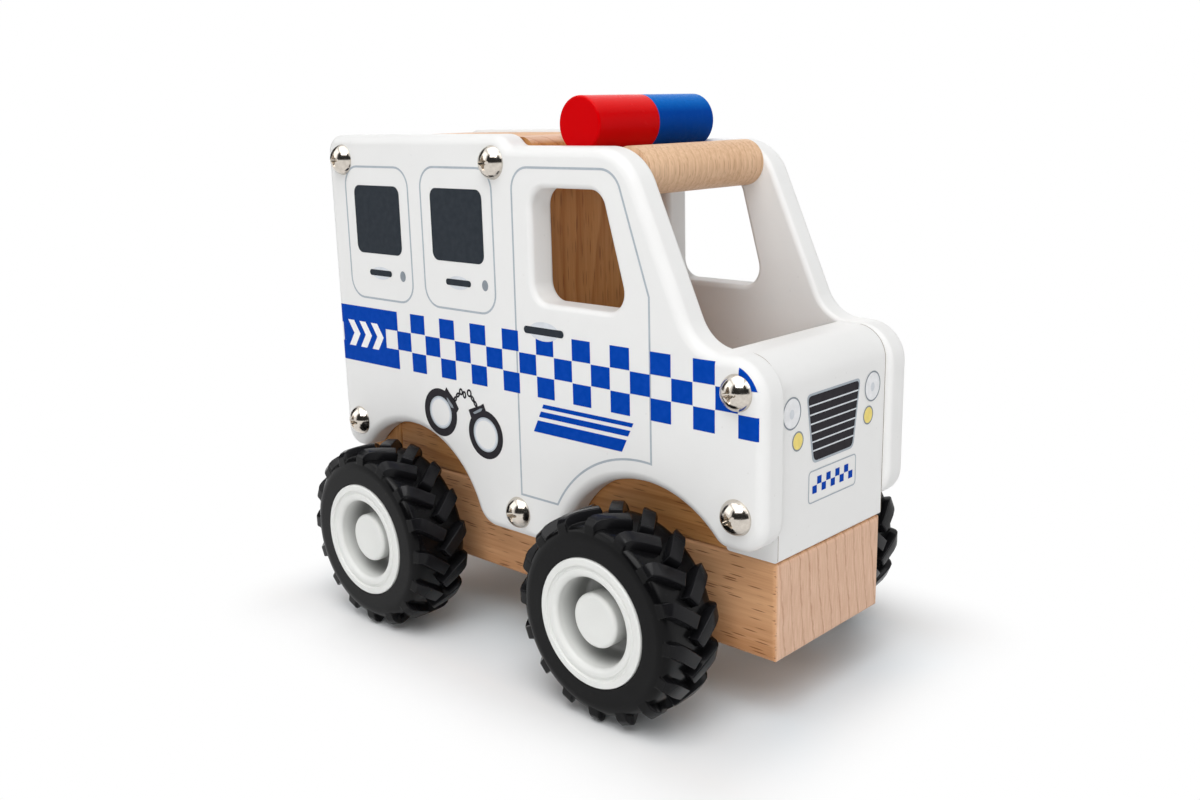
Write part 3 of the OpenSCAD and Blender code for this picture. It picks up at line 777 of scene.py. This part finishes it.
def paint(name, colour, rough=0.4, variation=0.03, peel=0.12, gloss=0.3, dusty=0.08, painted_top_light=None):
    """Sprayed paint: slight unevenness, orange peel and specks of dust, and a painted highlight that makes it
    paler on top where a lit-top colour is given.
    """
    look = Look(name)
    where = look.place()
    dust = look.span(look.cells(where, 0.16)[0], 0.03, 0.06, 1.0, 0.0)
    uneven = look.span(look.noise(where, 0.045, 3.0), 0.3, 0.7)
    tone = look.mix(uneven, dimmed(colour, 1 - variation * 2), colour)
    tone = look.mix(look.times(dust, dusty), tone, DUST)
    if painted_top_light:
        # Painted highlight: faces that look up are mixed toward the lighter top colour.
        tone = look.mix(look.span(look.facing()[2], 0.35, 0.95), tone, painted_top_light)
    sheen = look.span(look.noise(where, 0.4, 4.0), 0.3, 0.7, rough - 0.05, rough + 0.06)
    look.set(Base_Color=tone, Roughness=sheen, Specular_IOR_Level=gloss)
    waves = look.times(look.noise(where, 0.25, 2.0), 1.2)
    look.bump(look.plus(look.noise(where, 1.6, 3.0), waves), peel, 0.04)
    return look.material


INK_ROUGH = 0.42


def ink(name, *rgb):
    """Screen-printed ink: a little uneven in cover, with a fine mesh texture."""
    look = Look(name)
    where = look.place()
    cover = look.noise(where, 0.5, 4.0)
    colour = linear(*rgb)
    thin = tuple(min(1.0, c * 1.12 + 0.004) for c in colour[:3]) + (1.0,)
    look.set(Base_Color=look.mix(look.span(cover, 0.35, 0.75), colour, thin),
             Roughness=look.span(cover, 0.3, 0.7, INK_ROUGH - 0.04, INK_ROUGH + 0.06),
             Specular_IOR_Level=0.02)
    look.bump(look.noise(where, 5.0, 1.0), 0.06, 0.02)
    return look.material


def wood(name, grain, heart, light, dark, fleck, end=None, period=4.2, flecks=1.0, waver=7.0, rings=0.34,
         wild=0.35):
    """Beech: growth rings about a heart line that runs along the grain, fibres, and dark ray flecks."""
    look = Look(name)
    x, y, z = look.axes(look.place())
    along, u, v = {"x": (x, y, z), "z": (z, x, y)}[grain]

    def drawn(lengthwise, crosswise):
        return look.join(look.times(along, lengthwise), look.times(u, crosswise), look.times(v, crosswise))

    drift = look.span(look.noise(drawn(0.011, 0.03)), 0.0, 1.0, -waver, waver)
    radius = look.length(look.plus(look.minus(u, heart[0]), drift),
                         look.minus(look.minus(v, heart[1]), look.times(drift, 0.6)))
    uneven = look.noise(drawn(0.02, 1.0), 0.35, 3.0)
    ring = look.math("FRACT", look.plus(look.math("DIVIDE", radius, period), look.times(uneven, wild)))
    band = look.ramp(ring, (0.0, 0.25), (0.55, 0.45), (0.9, 1), (1.0, 0.25))
    fibre = look.noise(drawn(0.035, 1.5), 1.0, 4.0, 0.6)
    broad = look.noise(drawn(0.006, 0.05))
    depth = look.plus(look.times(band, rings), look.plus(look.times(fibre, 0.55), look.times(broad, 0.45)))
    tone = look.mix(look.span(depth, 0.42, 0.95), light, dark)
    ray, pick = look.cells(drawn(0.125, 1.6))
    chosen = look.math("GREATER_THAN", look.axes(pick)[0], 0.42)
    ray_mask = look.times(look.span(ray, 0.2, 0.36, 1.0, 0.0), chosen)
    tone = look.mix(look.times(ray_mask, 0.5 * flecks), tone, fleck)
    if end:
        end_mask = look.span(look.math("ABSOLUTE", look.facing()["xyz".index(grain)]), 0.6, 0.85)
        pores = look.span(look.cells(drawn(0.0, 3.4))[0], 0.1, 0.34, 1.0, 0.0)
        streak = look.noise(look.join(0.0, look.times(u, 2.4), look.times(v, 0.16)), 1.0, 4.0)
        line = look.ramp(ring, (0.0, 0), (0.74, 0), (0.87, 1), (0.97, 0))
        cut = look.mix(look.span(streak, 0.3, 0.75), end[0], end[1])
        cut = look.mix(look.times(line, look.span(uneven, 0.25, 0.7, 0.2, 0.55)), cut, end[2])
        cut = look.mix(look.times(pores, 0.14), cut, end[2])
        tone = look.mix(end_mask, tone, cut)
    look.set(Base_Color=tone, Roughness=look.span(fibre, 0.3, 0.7, 0.42, 0.58), Specular_IOR_Level=0.2)
    look.bump(look.minus(look.times(fibre, 0.6), look.times(ray_mask, 0.5)), 0.22, 0.06)
    return look.material


def rubber(name):
    """Moulded black rubber, greyer on the lug tops, partly as wear and partly as a painted sheen."""
    look = Look(name)
    where = look.place()
    grit = look.noise(where, 3.5, 3.0)
    tone = look.mix(look.span(look.noise(where, 0.12, 4.0), 0.35, 0.75), linear(6, 6, 7), linear(10, 10, 11))
    x, _, z = look.axes(where)
    middle = (FRONT_AXLE_X + REAR_AXLE_X) / 2
    radius = look.length(look.beyond(look.minus(x, middle), FRONT_AXLE_X - middle), look.minus(z, AXLE_Z))
    # The lug tops are mixed toward a grey: partly wear, partly a painted sheen.
    tone = look.mix(look.span(radius, TYRE_R - 3.5, TYRE_R - 0.4), tone, linear(24, 24, 26))
    look.set(Base_Color=tone, Roughness=look.span(grit, 0.3, 0.7, 0.15, 0.25), Specular_IOR_Level=0.13)
    look.bump(grit, 0.03, 0.05)
    return look.material


def plastic(name, colour):
    """Moulded satin plastic with a fine mould texture, and painted shade that greys it down in the wheel's
    bowl.
    """
    look = Look(name)
    where = look.place()
    tone = look.mix(look.span(look.noise(where, 0.07, 2.0), 0.3, 0.7), colour, dimmed(colour, 0.95))
    # Painted shade: deeper in the wheel's bowl the colour is mixed toward a dark grey.
    painted_bowl_shade = look.span(look.math("ABSOLUTE", look.axes(where)[1]), BOWL_FLOOR + 3.5, CAP_FACE - 0.5, 1.0, 0.0)
    tone = look.mix(painted_bowl_shade, tone, dimmed(colour, 0.36))
    look.set(Base_Color=tone, Roughness=look.span(look.noise(where, 0.8, 3.0), 0.3, 0.7, 0.3, 0.42),
             Specular_IOR_Level=0.3)
    look.bump(look.noise(where, 2.4, 3.0), 0.07, 0.03)
    return look.material


def metal(name, colour, rough):
    """Plated or drawn metal with hairline scratches."""
    look = Look(name)
    haze = look.noise(look.place(), 0.9, 3.0)
    tone = look.mix(look.span(haze, 0.3, 0.75), colour, dimmed(colour, 0.86))
    look.set(Base_Color=tone, Metallic=1.0, Roughness=look.span(haze, 0.3, 0.7, rough, rough + 0.08))
    look.bump(look.noise(look.place((0.5, 0.5, 6.0)), 1.0, 4.0), 0.05, 0.02)
    return look.material


WHITE = paint("satin_white_paint", linear(233, 233, 232), 0.42, 0.012)
# The beacon's paints get a lighter top colour, a painted highlight on their upper faces.
RED = paint("red_paint", linear(202, 0, 5), 0.22, 0.02, 0.03, 0.04, 0.0, linear(232, 40, 40))
BLUE = paint("blue_paint", linear(0, 64, 154), 0.26, 0.02, 0.03, 0.02, 0.0, linear(0, 112, 200))
BEECH_END = (linear(226, 190, 164), linear(204, 164, 136), linear(160, 100, 68))
BEECH_CHASSIS = wood("beech_chassis", "x", (300.0, 75.0), linear(223, 174, 131), linear(181, 128, 86),
                     linear(112, 66, 36), BEECH_END, 4.3, 1.5, 1.5)
# A darker copy of the beech, with painted shade, for the floor board that shows in the shaded wheel arches.
BEECH_FLOOR_SHADED = wood("beech_floor", "x", (40.0, -60.0), linear(201, 146, 90), linear(158, 101, 55),
                   linear(98, 58, 30), BEECH_END, 4.2, 1.1)
BEECH_ROOF = wood("beech_roof", "x", (58.0, -20.0), linear(226, 180, 136), linear(186, 134, 90),
                  linear(112, 68, 38), BEECH_END)
BEECH_BAR = wood("beech_bar", "z", (31.0, -70.0), linear(232, 197, 163), linear(187, 142, 104),
                 linear(150, 102, 66), None, 2.6, 0.7, 9.0, 0.2, 1.5)
# A darker copy of the beech, with painted shade, for the partition in the shaded cab; the rear board and pins
# use it too.
BEECH_Z_SHADED = wood("beech_along_z", "z", (-38.0, 20.0), linear(199, 146, 91), linear(159, 101, 52),
               linear(100, 58, 30), BEECH_END)
NICKEL = metal("nickel_plate", linear(214, 206, 196), 0.1)
STEEL = metal("drawn_steel", linear(180, 180, 182), 0.25)
RIM = plastic("satin_white_plastic", linear(228, 229, 226))
RUBBER = rubber("tyre_rubber")
INK_BLUE = ink("blue_ink", 0, 63, 164)
INK_SLATE = ink("slate_ink", 47, 52, 58)
INK_DARK = ink("dark_grey_ink", 45, 43, 47)
INK_LINE = ink("line_grey_ink", 168, 176, 184)
INK_SOFT = ink("soft_grey_ink", 176, 184, 191)
INK_PALE = ink("pale_grey_ink", 210, 214, 219)
INK_GLASS = ink("lamp_white_ink", 229, 230, 232)
INK_YELLOW = ink("yellow_ink", 234, 214, 128)
INK_WHITE = ink("white_ink", 236, 236, 236)
INK_STEEL = ink("mid_grey_ink", 136, 143, 150)
# Joint lines: glue colour, darkened as painted shade of the gaps.
INK_JOINT = ink("joint_brown_ink", 150, 138, 128)

# Looks of the CAD nodes, by the node's name or the first word of it, with white paint on the rest
LOOKS = {
    "chassis": BEECH_CHASSIS, "floor": BEECH_FLOOR_SHADED, "partition": BEECH_Z_SHADED, "rear_board": BEECH_Z_SHADED,
    "cargo": BEECH_ROOF, "cab": BEECH_ROOF, "roof": BEECH_BAR, "beacon_red": RED, "beacon_blue": BLUE,
    "beacon_pins": BEECH_Z_SHADED, "screws": NICKEL, "front_axle": STEEL, "rear_axle": STEEL, "tyre": RUBBER,
    "hub": RIM, "cap": RIM,
}
for node_name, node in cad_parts.items():
    node.data.materials.clear()
    node.data.materials.append(LOOKS.get(node_name) or LOOKS.get(node_name.split("_")[0], WHITE))

# Smooth pieces over the CAD nodes
FRONT_SECTION = board_outline(FRONT_X, CHASSIS_TOP_Z, BOARD_TOP_Z, FRONT_BOARD_R)
PARTITION_SECTION = board_outline(PARTITION_X, FLOOR_TOP_Z, BOX_TOP_Z, PARTITION_R)
for side, word in SIDES:
    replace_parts(panel_piece("panel_skin_" + word, side, WHITE), "side_panel_" + word)
    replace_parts(screw_piece("screw_heads_" + word, side, NICKEL), "screws_" + word)
    for end, axle_x in (("front", FRONT_AXLE_X), ("rear", REAR_AXLE_X)):
        place = end + "_" + word
        rides = end + "_wheels"
        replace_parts(turned_piece("hub_skin_" + place, HUB_PROFILE, axle_x, side, RIM, rides), "hub_" + place)
        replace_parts(turned_piece("cap_skin_" + place, CAP_PROFILE, axle_x, side, RIM, rides), "cap_" + place)
        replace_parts(tyre_piece("tyre_skin_" + place, axle_x, side, RUBBER, rides), "tyre_" + place)
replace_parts(board_piece("front_board_skin", FRONT_SECTION, WHITE, "white_paint"), "front_board")
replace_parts(board_piece("partition_skin", PARTITION_SECTION, BEECH_Z_SHADED, "beech"), "partition_board")
joint_piece("front_board_joints", FRONT_SECTION, INK_JOINT)
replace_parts(bar_piece("roof_bar_skin", BEECH_BAR), "roof_bar")
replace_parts(beacon_piece("beacon_skin_red", RIGHT, RED, "red_paint"), "beacon_red")
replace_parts(beacon_piece("beacon_skin_blue", LEFT, BLUE, "blue_paint"), "beacon_blue")

# Prints on the sides
BAND_LOW = 79.4
BAND_ROW = 6.13
BAND_X = -47.7
BAND_PITCH = 7.0
BAND_GAP = 0.15
ROW_GAP = 0.18
BAND_END = 1.7
BAND_FLAT_X = 58
BAND_FINE_X = 60
CHEVRON = [(0, 84.2), (3.3, 84.2), (6.3, 88.45), (3.3, 92.7), (0, 92.7), (3.0, 88.45)]
STRIPES = [
    [(6.2, 69.1), (40.0, 69.1), (41.8, 72.6), (8.0, 72.6)],
    [(8.5, 73.7), (42.3, 73.7), (43.2, 75.4), (9.4, 75.4)],
    [(9.9, 76.4), (43.7, 76.4), (44.3, 77.6), (10.5, 77.6)],
]
DOOR_LINE_W = 0.62
DOOR_LEAN = degrees(atan2(49.8 - 41.2, 138.9 - 111.9))
DOOR_LINE = [(0.1, 49.0), *bend(46.9, 31.1, 36.6, 150.7, 84.8, 24), (50.2, 111.4),
             *bend(34.3, 136.0, 7.0, DOOR_LEAN, 90, 12), *bend(6.9, 136.8, 6.2, 90, 180, 8)]
CUFFS = [(-35.25, 68.15, 7.7, 5.2), (-14.7, 64.45, 7.6, 5.4)]
CUFF_STEPS = 8
CUFF_LOCKS = [
    [(-31.9, 76.6), (-33.0, 74.8), (-31.8, 72.1), (-29.5, 69.4), (-27.5, 69.3), (-26.5, 70.6), (-28.0, 72.9),
     (-30.9, 75.5)],
    [(-22.0, 71.0), (-21.0, 68.7), (-14.1, 71.8), (-15.1, 74.0), (-16.4, 73.2), (-21.1, 71.4)],
]
# Links of the chain, as [x, z, half length, half width, turn in degrees]
CHAIN = [
    (-27.9, 73.5, 0.7, 0.42, 45), (-26.6, 74.9, 0.75, 0.42, 35), (-25.1, 76.1, 0.62, 0.82, 0),
    (-23.55, 75.4, 0.55, 0.9, 5), (-21.3, 76.2, 0.8, 0.95, 0), (-19.9, 74.7, 0.85, 0.42, -52),
    (-18.7, 73.3, 0.9, 0.42, -52),
]
CHAIN_LINE_W = 0.6
CUFF_SHINE = [
    [(-32.0, 73.4), (-31.4, 71.9), (-30.0, 70.5), (-28.9, 70.4), (-29.3, 71.3), (-31.1, 72.9)],
    [(-20.0, 70.5), (-19.2, 70.1), (-16.2, 71.5), (-15.6, 72.4), (-16.6, 72.2)],
]


def band_roof(x):
    """The highest point that the print reaches at x before the panel's rounded edge."""
    high = BAND_LOW + 3 * BAND_ROW
    if x < BAND_FLAT_X:
        return high
    low = BAND_LOW
    for _ in range(18):
        mid = (low + high) / 2
        if edge_distance(x, mid) >= BAND_END:
            low = mid
        else:
            high = mid
    return low


def print_band(side, word):
    made = Print(on_panel(side))
    for column in range(-1, 19):
        x0 = BAND_X + column * BAND_PITCH
        x1 = min(x0 + BAND_PITCH - BAND_GAP, PANEL_X - BAND_END)
        fineness = (24, 14) if x1 > BAND_FINE_X else (1, 1)
        for row in (0, 2) if column % 2 == 0 else (1,):
            z0 = BAND_LOW + row * BAND_ROW
            made.patch(x0, x1, z0, z0 + BAND_ROW - ROW_GAP, *fineness, roof=band_roof)
    made.piece("print_checker_" + word, INK_BLUE, slot="blue_paint")
    field = Print(on_panel(side))
    for low, high in ((79.2, 85.4), (91.5, 97.6)):
        field.patch(-85.95, -83.0, low, high, 20)
        field.patch(-83.0, -54.3, low, high)
    field.patch(-83.4, -60.6, 85.4, 91.5, 8)
    field.piece("print_rear_field_" + word, INK_BLUE, slot="blue_paint")
    chevrons = [[(-80.6 + k * 6.2 + x, z) for x, z in CHEVRON] for k in range(3)]
    print_areas("print_chevrons_" + word, on_panel(side, MARK_LIFT), INK_WHITE, *chevrons, slot="white_paint")
    print_areas("print_stripes_" + word, on_panel(side), INK_BLUE, *STRIPES, slot="blue_paint")


def print_doors(side, word):
    lines = Print(on_panel(side, LINE_LIFT)).lines(
        DOOR_LINE_W, rounded_box(-76.7, 100.9, -45.2, 142.1, 6.2),
        rounded_box(-39.2, 101.1, -7.6, 142.5, 6.2), DOOR_LINE)
    lines.piece("print_door_lines_" + word, INK_LINE)
    print_areas("print_rear_windows_" + word, on_panel(side), INK_SLATE,
                rounded_box(-72.3, 115.3, -49.6, 136.4, 2.6), rounded_box(-34.8, 115.3, -11.8, 136.5, 2.6))
    print_areas("print_handle_dishes_" + word, on_panel(side, OVER_LIFT), INK_PALE,
                ellipse(-60.9, 109.25, 4.7, 2.0), ellipse(-23.65, 109.15, 4.7, 2.0),
                ellipse(11.65, 98.4, 5.8, 2.7))
    print_areas("print_handles_" + word, on_panel(side, TOP_LIFT), INK_SLATE,
                rounded_box(-66.7, 108.35, -55.4, 110.25, 0.94),
                rounded_box(-29.3, 108.25, -18.0, 110.15, 0.94), rounded_box(3.7, 97.35, 19.4, 99.45, 1.04))
    print_areas("print_locks_" + word, on_panel(side), INK_STEEL,
                ellipse(-49.95, 109.0, 1.35, 1.65), ellipse(-11.9, 109.3, 1.3, 1.6))


def print_cuffs(side, word):
    dark, soft, faint = (Print(on_panel(side)) for _ in range(3))
    for cx, cz, r_out, r_in in CUFFS:
        steps = [r_out - (r_out - r_in) * i / CUFF_STEPS for i in range(CUFF_STEPS + 1)]
        edges = [ellipse(cx, cz, r, r * 0.98, 96) for r in steps + [r_in - 0.45, r_in - 1.0]]
        for sheet, outer, inner in zip([dark] * CUFF_STEPS + [soft, faint], edges, edges[1:]):
            sheet.bridge(sheet.put(outer), sheet.put(inner))
    dark.piece("print_cuffs_" + word, INK_DARK)
    soft.piece("print_cuff_shade_" + word, INK_SOFT)
    faint.piece("print_cuff_rim_" + word, INK_PALE)
    chain = Print(on_panel(side, OVER_LIFT)).areas(*CUFF_LOCKS)
    for cx, cz, rx, rz, turn in CHAIN:
        chain.lines(CHAIN_LINE_W, turned(ellipse(0, 0, rx, rz, 24), turn, cx, cz))
    chain.piece("print_cuff_chain_" + word, INK_DARK)
    print_areas("print_cuff_shine_" + word, on_panel(side, TOP_LIFT), INK_STEEL, *CUFF_SHINE)


for side, word in SIDES:
    print_band(side, word)
    print_doors(side, word)
    print_cuffs(side, word)

# Prints on the nose
LAMPS_Y = (-19.7, 18.45)
FOGS_Y = (-16.9, 16.6)
LAMP_LINE_W = 0.42
PLATE_LINE_W = 0.36
GRILLE_LOW = 68.4
GRILLE_HIGH = 87.1
GRILLE_R = 1.9
GRILLE_FRAME = 0.62
GRILLE_BARS_Z = (83.9, 81.5, 79.05, 76.55, 74.2, 71.8)
GRILLE_BAR_H = 0.4


def grille_outline(inset):
    """The grille's outline with rounded corners, drawn in by inset."""
    low, high = GRILLE_LOW + inset, GRILLE_HIGH - inset
    corners = [(-10.1 + inset, low), (9.4 - inset, low), (12.2 - inset, high), (-13.3 + inset, high)]
    points = []
    r = GRILLE_R - inset * 0.5
    for i, corner in enumerate(corners):
        before, here, after = Vector(corners[i - 1]), Vector(corner), Vector(corners[(i + 1) % 4])
        a = here + (before - here).normalized() * r
        b = here + (after - here).normalized() * r
        for j in range(7):
            t = j / 6
            points.append(tuple((1 - t) ** 2 * a + 2 * t * (1 - t) * here + t * t * b))
    return points


def grille_bar(z):
    share = (z - GRILLE_LOW) / (GRILLE_HIGH - GRILLE_LOW)
    half = 9.75 + (12.75 - 9.75) * share - 0.6
    mid = -0.35 - 0.2 * share
    return box(mid - half, z - GRILLE_BAR_H / 2, 2 * half, GRILLE_BAR_H)


lamp_rings = [ellipse(y, 83.6, 3.8, 4.0) for y in LAMPS_Y]
fog_rings = [ellipse(y, 75.9, 2.3, 2.4) for y in FOGS_Y]
plate_checks = [box(-9.9 + column * 2.15, 60.2 + row * 2.2, 2.05, 2.1)
                for row in range(2) for column in range(9) if (row + column) % 2 == 0]
nose_rings = Print(on_front(OVER_LIFT)).lines(LAMP_LINE_W, *lamp_rings, *fog_rings)
nose_rings.piece("print_nose_rings", INK_STEEL)
print_areas("print_lamps", on_front(), INK_GLASS, *lamp_rings)
lamp_spots = [ellipse(y, 83.4, 1.0, 1.25) for y in LAMPS_Y]
print_areas("print_lamp_spots", on_front(OVER_LIFT), INK_PALE, *lamp_spots)
print_areas("print_fog_lamps", on_front(), INK_YELLOW, *(ellipse(y, 75.9, 2.25, 2.35) for y in FOGS_Y))
grille_frame = Print(on_front()).areas(grille_outline(0.0))
grille_frame.lines(PLATE_LINE_W, rounded_box(-11.6, 57.9, 10.8, 66.4, 1.1))
grille_frame.piece("print_grille_frame", INK_LINE)
print_areas("print_grille", on_front(MARK_LIFT), INK_DARK, grille_outline(GRILLE_FRAME))
print_areas("print_grille_bars", on_front(BAR_LIFT), INK_PALE, *(grille_bar(z) for z in GRILLE_BARS_Z))
print_areas("print_plate_checks", on_front(), INK_BLUE, *plate_checks, slot="blue_paint")

# Stage: a pale floor that runs out to white, soft lamps, and a camera at the photograph's angle
FLOOR_R = 8.0
SHADE_X = 84.0
SHADE_Y = 55.0
SHADE_RUN = 32.0
# Where the floor's painted shadow and painted cool tint lie
UNDER_X = 40.0
UNDER_Y = 20.0
UNDER_RUN = 36.0


def floor_look():
    look = Look("pale_floor")
    where = look.place()
    x, y, _ = look.axes(where)
    out_x = look.larger(look.beyond(x, SHADE_X), 0.0)
    out_y = look.larger(look.beyond(y, SHADE_Y), 0.0)
    fade = look.span(look.length(out_x, out_y), 0.0, SHADE_RUN, how="SMOOTHSTEP")
    paper = look.mix(look.noise(where, 0.05, 3.0), linear(243, 243, 243), linear(247, 247, 247))
    # Painted shadow: the floor is darker under the van, and a painted cool tint beside it offsets the warm
    # light bounced off the wood.
    beside = look.beyond(y, UNDER_Y)
    painted_cool_tint = look.span(look.larger(beside, out_x), 0.0, UNDER_RUN, 1.0, 0.0)
    painted_shadow_under = look.span(look.larger(beside, look.beyond(x, UNDER_X)), 0.0, UNDER_RUN, 1.0, 0.0)
    paper = look.mix(painted_shadow_under, look.mix(painted_cool_tint, paper, linear(236, 243, 248)), linear(221, 230, 235))
    look.set(Base_Color=paper, Roughness=0.9, Specular_IOR_Level=0.0)
    glow = look.node("ShaderNodeEmission", Strength=1.0)
    path = look.node("ShaderNodeLightPath").outputs
    seen = look.larger(path["Is Camera Ray"], look.larger(path["Is Glossy Ray"], path["Is Transmission Ray"]))
    blend = look.node("ShaderNodeMixShader")
    for socket, value in zip(blend.inputs, (look.times(seen, fade), look.shader.outputs[0], glow.outputs[0])):
        look.feed(socket, value)
    look.feed(look.tree.nodes["Material Output"].inputs["Surface"], blend.outputs[0])
    return look.material


floor_mesh = bpy.data.meshes.new("floor")
floor_mesh.from_pydata([(x, y, 0.0) for x, y in ellipse(0, 0, FLOOR_R, FLOOR_R, 96)], [], [list(range(96))])
floor_mesh.materials.append(floor_look())
floor = in_scene("floor", floor_mesh)

# Glossy surfaces see a white studio with dark gaps behind the camera and beyond the van's rear end, as
# [(x, y) of the middle, cosine at the edge, cosine where it is full, heights where it begins to end and ends]
SKY_LEVEL = 0.02
DARK_LEVEL = 0.03
DARK_GAPS = [((0.64, -0.77), 0.57, 0.64, 0.70, 0.78), ((-1.0, 0.03), 0.92, 0.95, 0.55, 0.62)]
world = bpy.data.worlds.new("studio")
bpy.context.scene.world = world
world.use_nodes = True
sky = Nodes(world.node_tree)
sky_light = sky.tree.nodes["Background"]
sky_light.inputs["Color"].default_value = (1, 1, 1, 1)
sky_path = sky.node("ShaderNodeLightPath").outputs
sky_x, sky_y, sky_z = sky.axes(sky.node("ShaderNodeTexCoord").outputs["Generated"])
level = sky.math("SQRT", sky.minus(1.0, sky.times(sky_z, sky_z)))
light_left = 1.0
for (way_x, way_y), edge, full, low_end, high_end in DARK_GAPS:
    toward = sky.math("DIVIDE", sky.plus(sky.times(sky_x, way_x), sky.times(sky_y, way_y)), level)
    gap = sky.times(sky.span(toward, edge, full, how="SMOOTHSTEP"),
                    sky.minus(1.0, sky.span(sky_z, low_end, high_end, how="SMOOTHSTEP")))
    light_left = sky.times(sky.minus(1.0, gap), light_left)
glossy = sky.plus(sky.times(light_left, 1.0 - DARK_LEVEL), DARK_LEVEL)
seen_white = sky.larger(sky_path["Is Camera Ray"], sky_path["Is Transmission Ray"])
seen = sky.larger(seen_white, sky.times(sky_path["Is Glossy Ray"], glossy))
sky.feed(sky_light.inputs["Strength"], sky.plus(sky.times(sky_path["Is Diffuse Ray"], SKY_LEVEL), seen))

# Soft lamps, as [name, place, size, watts, whether glossy surfaces show them]
LAMP_AIM = Vector((0, 0, 0.06))
LAMPS = [
    ("key", (0.38, -0.55, 1.12), (0.9, 0.9), 9.6, True),
    ("overhead", (-0.12, -0.1, 1.3), (1.2, 1.2), 4.7, True),
    ("left_fill", (-0.75, -0.75, 0.75), (0.9, 0.8), 1.9, True),
    ("front_fill", (1.0, 0.2, 1.0), (0.9, 0.8), 2.8, True),
    ("rear_fill", (-0.85, 1.0, 0.5), (0.9, 0.6), 8.0, False),
    ("nose_fill", (1.0, 0.9, 0.35), (0.8, 0.5), 1.8, False),
    ("camera_fill", (0.64, -1.21, 0.34), (0.9, 0.5), 5.2, False),
]
for name, spot, size, watts, shows in LAMPS:
    light = bpy.data.lights.new(name, "AREA")
    light.shape = "RECTANGLE"
    light.size, light.size_y = size
    light.energy = watts
    lamp = in_scene(name, light)
    lamp.location = spot
    lamp.rotation_euler = (LAMP_AIM - Vector(spot)).to_track_quat("-Z", "Y").to_euler()
    lamp.visible_glossy = shows

# The camera, fitted to the photograph: focal length in pixels, place in millimetres, and right, up and back
PHOTO_W = 1200.0
PHOTO_FOCAL = 1197.78
SENSOR_W = 36.0
CAMERA_PLACE = Vector((246.6, -260.39, 158.09))
CAMERA_AXES = Matrix(((0.730045, 0.683007, -0.023161), (-0.145336, 0.188282, 0.971302),
                      (0.667767, -0.705728, 0.23672)))
camera_data = bpy.data.cameras.new("camera")
camera_data.sensor_fit = "HORIZONTAL"
camera_data.sensor_width = SENSOR_W
camera_data.lens = SENSOR_W * PHOTO_FOCAL / PHOTO_W
camera_data.clip_start = 0.01
camera = in_scene("camera", camera_data)
camera.matrix_world = Matrix.Translation(CAMERA_PLACE * MM) @ CAMERA_AXES.transposed().to_4x4()
bpy.context.scene.camera = camera
bpy.context.scene.view_settings.view_transform = "Standard"
